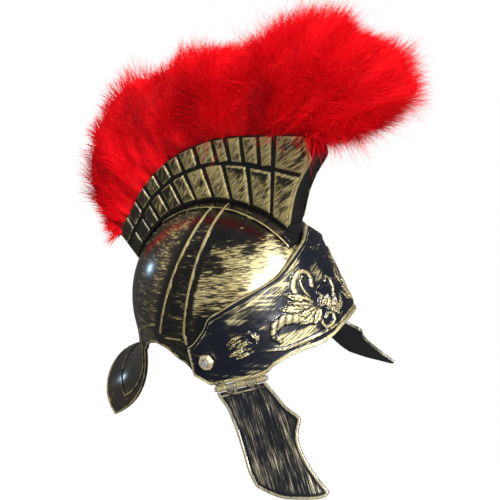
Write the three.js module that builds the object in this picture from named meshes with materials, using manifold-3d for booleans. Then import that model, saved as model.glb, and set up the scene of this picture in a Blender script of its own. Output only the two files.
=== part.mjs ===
// Roman legionary helmet, moulded plastic with a feather crest. Millimetres, +Z up, front towards -Y.
// The wearer's right is -X. The origin is where the crown of a head bears on the inside of the bowl.
import * as THREE from 'three';
import { mergeVertices } from 'three/addons/utils/BufferGeometryUtils.js';
import Module from 'manifold-3d';

const wasm = await Module();
wasm.setup();

// Bowl
const BOWL_HALF_WIDTH = 96.2;
const BOWL_HALF_LENGTH = 114.6;
const BOWL_HEIGHT = 112.2;
const BOWL_WALL = 3;
const CHEEK_DROP = 44;
const BROW_DROP = 20;
const NECK_CORNER_X = 75;
const NECK_CORNER_REACH = 28.4;
const NECK_CORNER_DROP = 99.5;
const NECK_BACK_REACH = 56.4;
const NECK_BACK_DROP = 53;
const NECK_ROUND = 1.11;

// Raised bands on the bowl
const STRIP_HALF_WIDTH = 32;
const STRIP_RAISE = 1.6;
const STRIP_FRONT_TURN = 60;
const STRIP_BACK_TURN = 24;
const STRIP_STEPS = 10;
const BAND_TOP_Y = -30.7;
const BAND_TOP_WIDTH = 13;
const BAND_SLANT = 0.43;
const BAND_SPREAD = 0.16;
const RIB_WIDTH = 3.4;
const RIB_RAISE = 1.3;
const RIB_START = 0.24;
const FRONT_RIB_END = 1.28;
const BACK_RIB_END = 1.02;
const SUNK = 2.6;

// Brow visor
const VISOR_WALL = 2.5;
const VISOR_SIDE_GAP = 2.9;
const VISOR_FRONT_GAP = 4.2;
const VISOR_SIDE_LEAN = 0.043;
const VISOR_FRONT_LEAN = 0.267;
const VISOR_PEAK = 69;
const VISOR_DROP = 50;
const VISOR_TURN = 89;
const VISOR_BEAD = 1.1;
const VISOR_BEAD_WIDTH = 2.6;
const RELIEF_RAISE = 2.2;
const RELIEF_ROOT = 1;
const BOSS_PROUD = 1.2;

// Pivot of the visor
const PIVOT_Y = -20.7;
const PIVOT_Z = -26;
const PAD_RADIUS = 9;
const PAD_PROUD = 2.1;
const BOLT_RADIUS = 3;
const BOLT_HEAD_RADIUS = 6;
const BOLT_HEAD_HEIGHT = 2.4;
const NUT_RADIUS = 7.6;
const NUT_HEIGHT = 5;
const BOLT_STICK_OUT = 1.6;

// Cheek guards and their hinges
const HINGE_BACK_TURN = 80.25;
const HINGE_FRONT_TURN = 58.93;
const HINGE_PROUD = 0.68;
const HINGE_FRONT_INSET = 2.44;
const HINGE_BELOW = 4.2;
const HINGE_RISE = 3.36;
const GUARD_SWING = 29.6;
const GUARD_LENGTH = 107.3;
const GUARD_WIDTH = 82.3;
const GUARD_WALL = 3;
const GUARD_RIM_WIDTH = 2.6;
const GUARD_RIM_RAISE = 0.9;
const GUARD_BOW = 3;
const KNUCKLE_RADIUS = 3;
const KNUCKLES = 5;
const HINGE_SIDES = 8;
const ROUND_SIDES = 12;
const PIN_RADIUS = 1.4;
const PIN_HEAD_PROUD = 0.9;
const PIN_HEAD_LENGTH = 1.4;
const VISOR_LEAF = 7.7;
const GUARD_LEAF = 6.7;

// Crest holder
const CREST_BASE_WIDTH = 36.8;
const CREST_TOP_WIDTH = 48.9;
const CREST_FRONT_HEIGHT = 90;
const CREST_WALL = 3;
const CREST_FRONT_TURN = 52.3;
const CREST_BACK_TURN = 57.4;
const CREST_TOP_FRONT_TURN = 40.2;
const CREST_TOP_BACK_TURN = 48.4;
const CREST_LIP = 9.4;
const CREST_DISH = 3;
const CHANNEL_DEPTH = 9;
const BRICK_RAISE = 2.2;
const BRICK_GROOVE = 3.6;
const BRICK_ROOT = 1;
const BRICK_FOOT = 3;
const CREST_ROOT = 6;

// Plume
const PLUME_LENGTH = 110;
const LOCK_RADIUS = 22;
const BACKING_PROUD = 7;
const SIDE_SPLAY = 30;
const LOCK_SIDES = 5;

// Gaps between pieces that touch, and between pieces that turn on each other
const SEAT_GAP = 0.3;
const RUN_GAP = 0.35;
const CUT_PAST = 5;

const COLOURS = {
  bowl: { color: 0x1c1b1c, roughness: 0.25, metalness: 0.2 },
  crest: { color: 0x8a7c48, roughness: 0.4, metalness: 0.4 },
  plume: { color: 0xd80a18, roughness: 0.9, metalness: 0 },
  visor: { color: 0x16181f, roughness: 0.3, metalness: 0.2 },
  guard: { color: 0x14161b, roughness: 0.3, metalness: 0.2 },
  steel: { color: 0xb8bcc2, roughness: 0.3, metalness: 1 },
  brass: { color: 0xc9a957, roughness: 0.25, metalness: 1 },
};

const rad = THREE.MathUtils.degToRad;
const mix = THREE.MathUtils.lerp;
const V = (x, y, z) => new THREE.Vector3(x, y, z);

// Value of a column of a table at a place along its first column
function column(table, key, at) {
  const rows = table.rows;
  const a = table.columns.indexOf(key);
  const last = rows.length - 1;
  let i = 0;
  while (i < last - 1 && rows[i + 1][0] < at) i += 1;
  const span = rows[i + 1][0] - rows[i][0];
  const f = THREE.MathUtils.clamp((at - rows[i][0]) / span, 0, 1);
  return mix(rows[i][a], rows[i + 1][a], f);
}

// A solid from a list of coordinates and a list of corners, and a geometry from a solid
function solid(positions, triangles) {
  const raw = new THREE.BufferGeometry();
  raw.setAttribute('position', new THREE.Float32BufferAttribute(positions, 3));
  raw.setIndex(triangles);
  const merged = mergeVertices(raw, 1e-4);
  return new wasm.Manifold(new wasm.Mesh({
    numProp: 3,
    vertProperties: new Float32Array(merged.getAttribute('position').array),
    triVerts: new Uint32Array(merged.getIndex().array),
  }));
}

function union(solids) {
  return solids.reduce((sum, piece) => sum.add(piece));
}

function geometryOf(manifold) {
  const mesh = manifold.getMesh();
  const geometry = new THREE.BufferGeometry();
  geometry.setAttribute('position', new THREE.BufferAttribute(mesh.vertProperties, 3));
  geometry.setIndex(new THREE.BufferAttribute(mesh.triVerts, 1));
  geometry.computeVertexNormals();
  return geometry;
}

// A closed solid through rings of points that all turn the same way, with flat or fanned ends.
function loft(rings) {
  const positions = [];
  const triangles = [];
  const n = rings[0].length;
  for (const ring of rings) for (const p of ring) positions.push(p.x, p.y, p.z);
  for (let i = 0; i < rings.length - 1; i += 1) {
    for (let j = 0; j < n; j += 1) {
      const k = (j + 1) % n;
      const [a, b, c, d] = [i * n + j, i * n + k, (i + 1) * n + k, (i + 1) * n + j];
      triangles.push(a, b, c, a, c, d);
    }
  }
  const fan = (ring, flip) => {
    const centre = ring.reduce((sum, p) => sum.add(p), V(0, 0, 0)).divideScalar(n);
    const c = positions.length / 3;
    const base = flip ? 0 : (rings.length - 1) * n;
    positions.push(centre.x, centre.y, centre.z);
    for (let j = 0; j < n; j += 1) {
      const k = (j + 1) % n;
      if (flip) triangles.push(c, base + k, base + j);
      else triangles.push(c, base + j, base + k);
    }
  };
  fan(rings[0], true);
  fan(rings[rings.length - 1], false);
  const made = solid(positions, triangles);
  return made.volume() < 0 ? solid(positions, triangles.reverse()) : made;
}

// A wall between two sheets of points given as rows. Wrapped sheets close around their columns.
function wall(outer, inner, wrapped) {
  const rows = outer.length;
  const columns = outer[0].length;
  const positions = [];
  const triangles = [];
  for (const sheet of [outer, inner]) {
    for (const row of sheet) for (const p of row) positions.push(p.x, p.y, p.z);
  }
  const at = (side, i, j) => (side * rows + i) * columns + (j % columns);
  const quad = (a, b, c, d) => triangles.push(a, b, c, a, c, d);
  const spans = wrapped ? columns : columns - 1;
  for (let i = 0; i < rows - 1; i += 1) {
    for (let j = 0; j < spans; j += 1) {
      quad(at(0, i, j), at(0, i + 1, j), at(0, i + 1, j + 1), at(0, i, j + 1));
      quad(at(1, i, j), at(1, i, j + 1), at(1, i + 1, j + 1), at(1, i + 1, j));
    }
  }
  for (let j = 0; j < spans; j += 1) {
    quad(at(0, rows - 1, j), at(1, rows - 1, j), at(1, rows - 1, j + 1), at(0, rows - 1, j + 1));
    quad(at(0, 0, j), at(0, 0, j + 1), at(1, 0, j + 1), at(1, 0, j));
  }
  if (!wrapped) {
    for (let i = 0; i < rows - 1; i += 1) {
      quad(at(0, i, 0), at(1, i, 0), at(1, i + 1, 0), at(0, i + 1, 0));
      quad(at(0, i, spans), at(0, i + 1, spans), at(1, i + 1, spans), at(1, i, spans));
    }
  }
  const kept = [];
  for (let i = 0; i < triangles.length; i += 3) {
    const [a, b, c] = triangles.slice(i, i + 3).map((k) => positions.slice(3 * k, 3 * k + 3).join());
    if (a !== b && b !== c && c !== a) kept.push(...triangles.slice(i, i + 3));
  }
  const made = solid(positions, kept);
  return made.volume() < 0 ? solid(positions, kept.reverse()) : made;
}

function mirrored(manifold) {
  return manifold.mirror([1, 0, 0]);
}

// A round bar or a prism between two points
function bar(start, end, radius, sides, turn = 0) {
  const axis = end.clone().sub(start).normalize();
  const flat = Math.abs(axis.z) > 0.9 ? V(1, 0, 0) : V(0, 0, 1);
  const u = flat.sub(axis.clone().multiplyScalar(flat.dot(axis))).normalize();
  const v = axis.clone().cross(u);
  const ring = (p) => Array.from({ length: sides }, (_, i) => {
    const a = 2 * Math.PI * (i + turn) / sides;
    return p.clone().addScaledVector(u, radius * Math.cos(a)).addScaledVector(v, radius * Math.sin(a));
  });
  return loft([ring(start), ring(end)]);
}

// Bowl: a place on its outer face, from the turn about the vertical (0 front, 90 side, 180 back) and
// a fall that runs 0 to 1 from the crown to the widest level and 1 to 2 from there to the rim.
// cut is how far down the full skirt the rim lies.
const RIM = {
  columns: ['turn', 'drop', 'cut'],
  rows: [
    [0, 0.45, 1], [40, 0.45, 1], [58, 0.77, 1], [72, 1, 1], [84, 1, 1], [91.5, 0.93, 1],
    [94, 0.7, 1], [98, 0.57, 1], [104, 0.35, 1], [110, 0.25, 1], [115, 0.21, 1], [120, 0.26, 1],
    [125, 0.36, 1], [128.5, 0.5, 1], [129, 1, 0.155], [130, 1, 0.3], [131, 1, 0.5],
    [132, 1, 0.72], [133, 1, 1], [180, 1, 1],
  ],
};
const NECK_START = 128.9;
const NECK_CORNER = 133;
const NECK_BACK = 178;

function skirtEnd(turn) {
  const a = rad(turn);
  const level = V(-BOWL_HALF_WIDTH * Math.sin(a), -BOWL_HALF_LENGTH * Math.cos(a), 0);
  const side = Math.sign(level.x) || 1;
  if (turn < NECK_START) {
    const brow = RIM.rows[0][1];
    const share = THREE.MathUtils.clamp((column(RIM, 'drop', turn) - brow) / (1 - brow), -1, 1);
    const drop = mix(BROW_DROP, CHEEK_DROP, share);
    return { level, bend: level.clone().setZ(-drop / 2), end: level.clone().setZ(-drop) };
  }
  const around = Math.PI / 2 * THREE.MathUtils.clamp((turn - NECK_CORNER) / (180 - NECK_CORNER), 0, 1);
  const back = BOWL_HALF_LENGTH + NECK_BACK_REACH;
  const corner = BOWL_HALF_LENGTH + NECK_CORNER_REACH;
  const end = V(
    side * NECK_CORNER_X * Math.cos(around) ** NECK_ROUND,
    mix(corner, back, Math.sin(around) ** NECK_ROUND),
    -mix(NECK_CORNER_DROP, NECK_BACK_DROP, Math.sin(around)),
  );
  const bend = V(level.x, level.y + 0.03 * (end.y - level.y), 0.8 * end.z);
  return { level, bend, end };
}

function bowlPoint(turn, fall) {
  if (fall <= 1) {
    const a = rad(turn);
    const s = Math.sin(fall * Math.PI / 2);
    return V(-BOWL_HALF_WIDTH * Math.sin(a) * s, -BOWL_HALF_LENGTH * Math.cos(a) * s,
      BOWL_HEIGHT * Math.cos(fall * Math.PI / 2));
  }
  const { level, bend, end } = skirtEnd(turn);
  const t = (fall - 1) * column(RIM, 'cut', turn);
  return new THREE.QuadraticBezierCurve3(level, bend, end).getPoint(t);
}

function inward(surface, u, v, du, dv, depth) {
  const across = surface(u + du, v).sub(surface(u - du, v));
  const along = surface(u, v + dv).sub(surface(u, v - dv));
  return across.cross(along).normalize().multiplyScalar(depth);
}

const BOWL_TURNS = [
  0, 18, 36, 54, 72, 84, 91.5, 94, 104, 110, 119, 128.5, 129, 131.5, 133, 141, 153, 166, 180,
];
const DOME_ROWS = 7;
const SKIRT_ROWS = 3;

function bowlShell() {
  const left = BOWL_TURNS.slice(1, -1).reverse().map((turn) => ({ turn, flip: true }));
  const around = [...BOWL_TURNS.map((turn) => ({ turn, flip: false })), ...left];
  const falls = [];
  for (let i = 0; i <= DOME_ROWS; i += 1) falls.push(i / DOME_ROWS);
  for (let i = 1; i <= SKIRT_ROWS; i += 1) falls.push(1 + i / SKIRT_ROWS);
  const skirtNormal = (turn, fall) => {
    const t = Math.max(turn, NECK_CORNER);
    const n = inward((a, b) => {
      const { level, bend, end } = skirtEnd(a);
      return new THREE.QuadraticBezierCurve3(level, bend, end).getPoint(b);
    }, Math.min(t, NECK_BACK), (fall - 1) * column(RIM, 'cut', turn), 0.8, 1e-3, 1);
    if (turn === 180 || turn === 0) n.x = 0;
    return n.normalize();
  };
  const wallIn = (turn, fall, p) => {
    let n;
    if (fall <= 1 || turn < NECK_START) {
      const z = Math.max(p.z, 0);
      n = V(p.x / BOWL_HALF_WIDTH ** 2, p.y / BOWL_HALF_LENGTH ** 2, z / BOWL_HEIGHT ** 2).normalize();
      n.negate();
    } else {
      n = skirtNormal(turn, fall);
      if (n.dot(V(p.x, p.y, 0)) > 0) n.negate();
    }
    return p.clone().addScaledVector(n, BOWL_WALL);
  };
  const sheet = (inner) => falls.map((fall) => around.map(({ turn, flip }) => {
    const outer = bowlPoint(turn, fall);
    const p = inner ? wallIn(turn, fall, outer) : outer;
    if (fall === 0) p.set(0, 0, BOWL_HEIGHT - (inner ? BOWL_WALL : 0));
    return flip ? V(-p.x, p.y, p.z) : p;
  }));
  return wall(sheet(false), sheet(true), true);
}

// A place over the bowl from the side and from the front: x and the turn about the X axis
function overBowl(x, turn, lift) {
  const k = Math.sqrt(1 - (x / BOWL_HALF_WIDTH) ** 2);
  const p = V(x, BOWL_HALF_LENGTH * k * Math.sin(rad(turn)), BOWL_HEIGHT * k * Math.cos(rad(turn)));
  const n = V(p.x / BOWL_HALF_WIDTH ** 2, p.y / BOWL_HALF_LENGTH ** 2, p.z / BOWL_HEIGHT ** 2).normalize();
  return p.addScaledVector(n, lift);
}

// A strip over the middle of the bowl between two heights off its face. It runs over the given steps,
// of which STRIP_STEPS lead from the front end of the raised strip to its back end.
function stripSolid(first, last, low, high) {
  const shares = [-1, -0.5, 0, 0.5, 1];
  const rings = [];
  for (let i = first; i <= last; i += 1) {
    const turn = mix(-STRIP_FRONT_TURN, STRIP_BACK_TURN, i / STRIP_STEPS);
    rings.push([
      ...shares.map((share) => overBowl(share * STRIP_HALF_WIDTH, turn, high)),
      ...shares.map((share) => overBowl(-share * STRIP_HALF_WIDTH, turn, low)),
    ]);
  }
  return loft(rings);
}

const crestStrip = () => stripSolid(0, STRIP_STEPS, -SUNK, STRIP_RAISE);
const underCrest = () => stripSolid(-2, STRIP_STEPS + 6, -4 * CREST_ROOT, STRIP_RAISE + SEAT_GAP);

// One raised bar down the right side of the bowl. place runs from 0 at the front edge of the band to
// 1 at its back edge.
function bandBar(place, width, raise) {
  const steps = 7;
  const rings = [];
  const line = (down, shift) => {
    const z = BOWL_HEIGHT * Math.cos(Math.PI / 2 * Math.min(down, 1));
    const fall = BOWL_HEIGHT - z;
    const across = (place - 0.5) * (BAND_TOP_WIDTH + BAND_SPREAD * fall);
    const y = BAND_TOP_Y + BAND_SLANT * fall + across + shift;
    const left = 1 - (y / BOWL_HALF_LENGTH) ** 2 - (z / BOWL_HEIGHT) ** 2;
    const under = down > 1 ? (down - 1) * CHEEK_DROP : 0;
    return V(-BOWL_HALF_WIDTH * Math.sqrt(Math.max(0, left)), y, z - under);
  };
  const last = place === 1 ? BACK_RIB_END : FRONT_RIB_END;
  for (let i = 0; i <= steps; i += 1) {
    const down = mix(RIB_START, last, i / steps);
    const normal = (p) => V(p.x / BOWL_HALF_WIDTH ** 2, p.y / BOWL_HALF_LENGTH ** 2,
      Math.max(p.z, 0) / BOWL_HEIGHT ** 2).normalize();
    const [a, b] = [line(down, -width / 2), line(down, width / 2)];
    rings.push([
      a.clone().addScaledVector(normal(a), -SUNK), a.clone().addScaledVector(normal(a), raise),
      b.clone().addScaledVector(normal(b), raise), b.clone().addScaledVector(normal(b), -SUNK),
    ]);
  }
  return loft(rings);
}

const padFace = BOWL_HALF_WIDTH * Math.sqrt(1 - (PIVOT_Y / BOWL_HALF_LENGTH) ** 2) + PAD_PROUD;
const padEdge = (Math.abs(PIVOT_Y) + PAD_RADIUS) / BOWL_HALF_LENGTH;
const padInner = BOWL_HALF_WIDTH * Math.sqrt(1 - padEdge ** 2) - BOWL_WALL - SEAT_GAP;
const pivotAt = (x) => V(-x, PIVOT_Y, PIVOT_Z);
const boltBore = BOLT_RADIUS + RUN_GAP;

function makeBowl() {
  const sideParts = [
    bandBar(0, RIB_WIDTH, RIB_RAISE),
    bandBar(1, RIB_WIDTH, RIB_RAISE),
    bar(pivotAt(padInner), pivotAt(padFace), PAD_RADIUS, ROUND_SIDES),
  ];
  const hole = bar(pivotAt(padInner - CUT_PAST), pivotAt(padFace + CUT_PAST), boltBore, ROUND_SIDES);
  const parts = [bowlShell(), crestStrip(), ...sideParts, ...sideParts.map(mirrored)];
  return union(parts).subtract(hole).subtract(mirrored(hole));
}

// Crest holder: a place on its side from the share along it (0 front, 1 back), the share up it and the
// share across its width. The height follows this table.
const CREST = {
  columns: ['along', 'height'],
  rows: [
    [0, 1], [0.044, 0.92], [0.141, 0.8], [0.225, 0.733], [0.337, 0.673], [0.423, 0.611],
    [0.563, 0.53], [0.736, 0.42], [0.88, 0.35], [1, 0.35],
  ],
};
const CREST_FRONT_EDGE = {
  columns: ['up', 'lip'],
  rows: [[0, 0], [0.3, -0.06], [0.556, 0.33], [0.774, 1], [1, 0]],
};
const LIP_UP = 0.774;
const LIP_END = 0.06;

// Bricks: the upright grooves as shares along the holder, and the groove between the two rows
const GROOVES = {
  lower: [0.096, 0.198, 0.299, 0.395, 0.488, 0.568, 0.648, 0.728, 0.808, 0.895],
  upper: [0.093, 0.147, 0.208, 0.269, 0.325, 0.405, 0.483, 0.549, 0.625, 0.705, 0.787, 0.888],
};
const BRICK_SPLIT = {
  columns: ['along', 'up'],
  rows: [[0, 0.6], [0.55, 0.63], [0.72, 0.6], [0.84, 0.55], [1, 0.53]],
};
const BRICKS_TO = 0.985;
const BRICK_END = 0.004;

function onArc(turn, extra) {
  const [length, height] = [BOWL_HALF_LENGTH + extra, BOWL_HEIGHT + extra];
  return V(0, length * Math.sin(rad(turn)), height * Math.cos(rad(turn)));
}

function crestPoint(along, up, across) {
  const base = onArc(mix(-CREST_FRONT_TURN, CREST_BACK_TURN, along), -CREST_ROOT);
  const height = CREST_FRONT_HEIGHT * column(CREST, 'height', along);
  const top = onArc(mix(-CREST_TOP_FRONT_TURN, CREST_TOP_BACK_TURN, along), height);
  const p = base.clone().lerp(top, up);
  const fade = Math.max(0, 1 - along / LIP_END);
  const rise = top.clone().sub(base).normalize();
  const forward = V(0, -rise.z, rise.y);
  p.addScaledVector(forward, CREST_LIP * fade * column(CREST_FRONT_EDGE, 'lip', up));
  p.addScaledVector(forward, -CREST_DISH * fade * (1 - across * across));
  p.x = across * mix(CREST_BASE_WIDTH, CREST_TOP_WIDTH, up) / 2;
  return p;
}

// A block between shares along and up the crest holder, over its whole width
function crestBlock(alongs, ups, steps, shiftX = 0) {
  const rings = alongs.map((along) => {
    const ring = [];
    const put = (up, across) => {
      const p = crestPoint(along, up, across);
      p.x += Math.sign(across) * shiftX;
      ring.push(p);
    };
    for (const up of ups) put(up, -1);
    for (let i = 1; i < steps; i += 1) put(ups[ups.length - 1], mix(-1, 1, i / steps));
    for (const up of [...ups].reverse()) put(up, 1);
    for (let i = 1; i < steps; i += 1) put(ups[0], mix(1, -1, i / steps));
    return ring;
  });
  return loft(rings);
}

const CREST_ALONG = [0, 0.06, 0.141, 0.24, 0.337, 0.45, 0.563, 0.67, 0.77, 0.88, 1];
const crestSpan = (BOWL_HALF_LENGTH + BOWL_HEIGHT) / 2 * rad(CREST_FRONT_TURN + CREST_BACK_TURN);
const CHANNEL_END = 1.4 * CREST_WALL / crestSpan;
const HOLLOW_END = 3.2 * CREST_WALL / crestSpan;
const heightAt = (along) => CREST_FRONT_HEIGHT * column(CREST, 'height', along);

function innerAlong(inset) {
  const kept = CREST_ALONG.filter((a) => a > inset + 0.01 && a < 1 - inset - 0.01);
  return [inset, ...kept, 1 - inset];
}

// A long cut inside the crest holder, wall by wall, between a floor and a roof given in millimetres
// from the bottom or down from the top.
function crestCut(floor, roof, inset, side) {
  const rings = innerAlong(inset).map((along) => {
    const height = heightAt(along);
    const [low, high] = [floor(height), roof(height)];
    const corner = (up, sign) => {
      const p = crestPoint(along, up, 1);
      p.x = sign * (mix(CREST_BASE_WIDTH, CREST_TOP_WIDTH, THREE.MathUtils.clamp(up, 0, 1)) / 2 - side);
      return p;
    };
    return [corner(low, -1), corner(high, -1), corner(high, 1), corner(low, 1)];
  });
  return loft(rings);
}

function makeCrestHolder() {
  const body = crestBlock(CREST_ALONG, [0, LIP_UP, 1], 2);
  const channel = crestCut((h) => 1 - CHANNEL_DEPTH / h, () => 1.05, CHANNEL_END, CREST_WALL);
  const hollow = crestCut(() => -0.05, (h) => 1 - (CHANNEL_DEPTH + CREST_WALL) / h, HOLLOW_END, CREST_WALL);
  const half = BRICK_GROOVE / crestSpan / 2;
  const bricks = [];
  for (const row of ['lower', 'upper']) {
    const starts = [BRICK_END - half, ...GROOVES[row]];
    const ends = [...GROOVES[row], 1 - BRICK_END + half];
    for (const [i, start] of starts.entries()) bricks.push(brick(start + half, ends[i] - half, row));
  }
  const all = union([body, ...bricks, ...bricks.map(mirrored)]);
  return all.subtract(channel).subtract(hollow).subtract(underCrest());
}

function brick(start, end, row) {
  const rings = [start, end].map((along) => {
    const height = heightAt(along);
    const split = column(BRICK_SPLIT, 'up', along) * height;
    const lower = [BRICK_FOOT, split - BRICK_GROOVE / 2];
    const upper = [split + BRICK_GROOVE / 2, BRICKS_TO * height];
    const [low, high] = row === 'lower' ? lower : upper;
    const share = (mm) => (mm + CREST_ROOT) / (height + CREST_ROOT);
    const corner = (mm, out) => crestPoint(along, share(mm), -1).add(V(-out, 0, 0));
    return [
      corner(low, -BRICK_ROOT), corner(low, BRICK_RAISE),
      corner(high, BRICK_RAISE), corner(high, -BRICK_ROOT),
    ];
  });
  return loft(rings);
}

// Plume: locks that grow from a backing in the channel. Each row is a lock: where it is rooted along
// the crest holder, how far it leans back (degrees from straight up), and its length and thickness.
const LOCKS = {
  columns: ['root', 'lean', 'length', 'girth'],
  rows: [
    [0.96, 55, 0.56, 0.9], [0.88, 35, 0.95, 1.1], [0.74, 27, 1, 1.15], [0.58, 19, 0.96, 1.15],
    [0.42, 12, 0.89, 1.1], [0.28, 4, 0.88, 1.1], [0.14, -9, 0.87, 1.1], [0.06, -28, 1.02, 1.15],
    [0.04, -51, 1.02, 1.15], [0.03, -74, 0.97, 1.1],
  ],
};

const LOCK_SHAPE = {
  columns: ['at', 'wide'],
  rows: [[0.01, 0.7], [0.45, 1], [0.86, 0.72], [1, 0.2]],
};

function lock(root, lean, length, girth, splay) {
  const start = crestPoint(root, 1, 0.6 * Math.sin(rad(splay)));
  const up = V(Math.sin(rad(splay)), Math.sin(rad(lean)) * Math.cos(rad(splay)),
    Math.cos(rad(lean)) * Math.cos(rad(splay)));
  const u = V(0, up.z, -up.y).normalize();
  const v = up.clone().cross(u);
  const rings = LOCK_SHAPE.rows.map(([at, wide]) => {
    const centre = start.clone().addScaledVector(up, at * length);
    return Array.from({ length: LOCK_SIDES }, (_, i) => {
      const a = 2 * Math.PI * (i + 0.5) / LOCK_SIDES;
      return centre.clone().addScaledVector(u, girth * wide * Math.cos(a))
        .addScaledVector(v, girth * wide * Math.sin(a));
    });
  });
  return loft(rings);
}

function plumeBacking() {
  const floor = (h) => 1 - (CHANNEL_DEPTH - SEAT_GAP) / h;
  const roof = (h) => 1 + BACKING_PROUD / h;
  return crestCut(floor, roof, CHANNEL_END + 1.6 * SEAT_GAP / crestSpan, CREST_WALL + SEAT_GAP);
}

function makePlume() {
  const locks = [];
  for (const [root, lean, length, girth] of LOCKS.rows) {
    const size = length * PLUME_LENGTH;
    const thick = girth * LOCK_RADIUS;
    locks.push(lock(root, lean, size, thick, 0));
    for (const side of [-1, 1]) locks.push(lock(root, lean, size * 0.88, thick, side * SIDE_SPLAY));
  }
  const clear = crestBlock([-0.01, ...CREST_ALONG, 1.06], [-0.3, 1], 2, BRICK_RAISE + SEAT_GAP);
  const lifted = clear.translate([0, 0, SEAT_GAP]);
  return union(locks).subtract(lifted).add(plumeBacking());
}

// Brow visor: a place on its outer face from the turn about the vertical (0 front) and the height
const VISOR = {
  columns: ['turn', 'top', 'bottom'],
  rows: [
    [0, 1, 0.56], [0.12, 0.84, 0.59], [0.236, 0.73, 0.66], [0.35, 0.6, 0.7],
    [0.404, 0.536, 0.69], [0.47, 0.49, 0.7], [0.607, 0.406, 0.82], [0.66, 0.375, 0.935],
    [0.77, 0.277, 0.96], [0.852, 0.183, 0.98], [0.888, 0.06, 1], [0.92, -0.02, 1],
    [0.96, -0.115, 0.9], [1, -0.175, 0.8],
  ],
};

function visorPoint(turn, z, out) {
  const half = BOWL_HALF_WIDTH + VISOR_SIDE_GAP + VISOR_WALL - VISOR_SIDE_LEAN * z + out;
  const front = BOWL_HALF_LENGTH + VISOR_FRONT_GAP + VISOR_WALL - VISOR_FRONT_LEAN * z + out;
  return V(-half * Math.sin(rad(turn)), -front * Math.cos(rad(turn)), z);
}

const visorTop = (turn) => VISOR_PEAK * column(VISOR, 'top', Math.abs(turn) / VISOR_TURN);
const visorBottom = (turn) => -VISOR_DROP * column(VISOR, 'bottom', Math.abs(turn) / VISOR_TURN);

function visorShell() {
  const half = VISOR.rows.map((row) => row[0] * VISOR_TURN);
  const turns = [...half.slice(1).reverse().map((t) => -t), ...half];
  const edge = (turn) => VISOR_BEAD_WIDTH / (visorTop(turn) - visorBottom(turn));
  const rowsAt = (turn) => {
    const e = edge(turn);
    return [0, e, e + 0.001, 1 - e - 0.001, 1 - e, 1];
  };
  const raised = [1, 1, 0, 0, 1, 1];
  const sheet = (outer) => raised.map((bead, i) => turns.map((turn, j) => {
    const up = rowsAt(turn)[i];
    const rim = bead || j === 0 || j === turns.length - 1 ? VISOR_BEAD : 0;
    return visorPoint(turn, mix(visorBottom(turn), visorTop(turn), up), outer ? rim : -VISOR_WALL);
  }));
  return wall(sheet(true), sheet(false), false);
}

// Relief on the visor is laid out flat: mm along the face from a turn, and mm up from a height
function relief(turn, z, u, v, out) {
  const half = BOWL_HALF_WIDTH * Math.cos(rad(turn));
  const front = BOWL_HALF_LENGTH * Math.sin(rad(turn));
  return visorPoint(turn + THREE.MathUtils.radToDeg(u / Math.hypot(half, front)), z + v, out);
}

// A raised vine along a spiral, tapering to its tip
function scroll({ turn, height, radius, shrink, from, sweep, width }) {
  const steps = Math.round(Math.abs(sweep) / 45);
  const rings = [];
  for (let i = 0; i <= steps; i += 1) {
    const share = i / steps;
    const r = radius * mix(1, shrink, share);
    const a = rad(from + sweep * share);
    const w = width / 2 * mix(1, 0.45, share);
    const at = (dr, out) => relief(turn, height, (r + dr) * Math.cos(a), (r + dr) * Math.sin(a), out);
    const [low, high] = [-RELIEF_ROOT, RELIEF_RAISE];
    rings.push([at(-w, low), at(-0.6 * w, high), at(0.6 * w, high), at(w, low)]);
  }
  return loft(rings);
}

const LEAF_SHAPE = {
  columns: ['along', 'wide'],
  rows: [[0.09, 0.4], [0.45, 1], [1, 0.1]],
};

// A raised leaf, pointed at both ends, with its ridge along the middle
function leaf(turn, height, angle, length, width) {
  const [c, s] = [Math.cos(rad(angle)), Math.sin(rad(angle))];
  const rings = LEAF_SHAPE.rows.map(([along, wide]) => {
    const w = width / 2 * wide;
    const at = (side, out) => relief(turn, height,
      c * along * length - s * side, s * along * length + c * side, out);
    return [at(-w, -RELIEF_ROOT), at(0, RELIEF_RAISE * mix(0.6, 1, wide)), at(w, -RELIEF_ROOT)];
  });
  return loft(rings);
}

// Motifs on the wearer's right, with turns as shares of the visor's turn and all lengths as shares of
// its drop
const SCROLLS = {
  columns: ['turn', 'height', 'radius', 'shrink', 'from', 'sweep', 'width'],
  rows: [
    [0.289, 0.44, 0.21, 0.85, -50, 225, 0.09], [0.485, -0.26, 0.22, 0.85, 150, -225, 0.18],
    [0.22, -0.34, 0.17, 0.5, 160, 315, 0.07],
  ],
};
const SPRAYS = {
  columns: ['turn', 'height', 'leaves', 'length', 'width', 'start', 'sweep'],
  rows: [[0.26, 0.02, 6, 0.42, 0.16, -60, 205], [0.66, -0.31, 4, 0.28, 0.12, -35, 110]],
};

function visorRelief() {
  const size = VISOR_DROP;
  const parts = SCROLLS.rows.map(([turn, height, radius, shrink, from, sweep, width]) => scroll({
    turn: turn * VISOR_TURN,
    height: height * size,
    radius: radius * size,
    width: width * size,
    shrink,
    from,
    sweep,
  }));
  for (const [turn, height, leaves, length, width, start, sweep] of SPRAYS.rows) {
    const place = [turn * VISOR_TURN, height * size];
    for (let i = 0; i < leaves; i += 1) {
      parts.push(leaf(...place, start + sweep * i / (leaves - 1), length * size, width * size));
    }
  }
  return parts;
}

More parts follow.
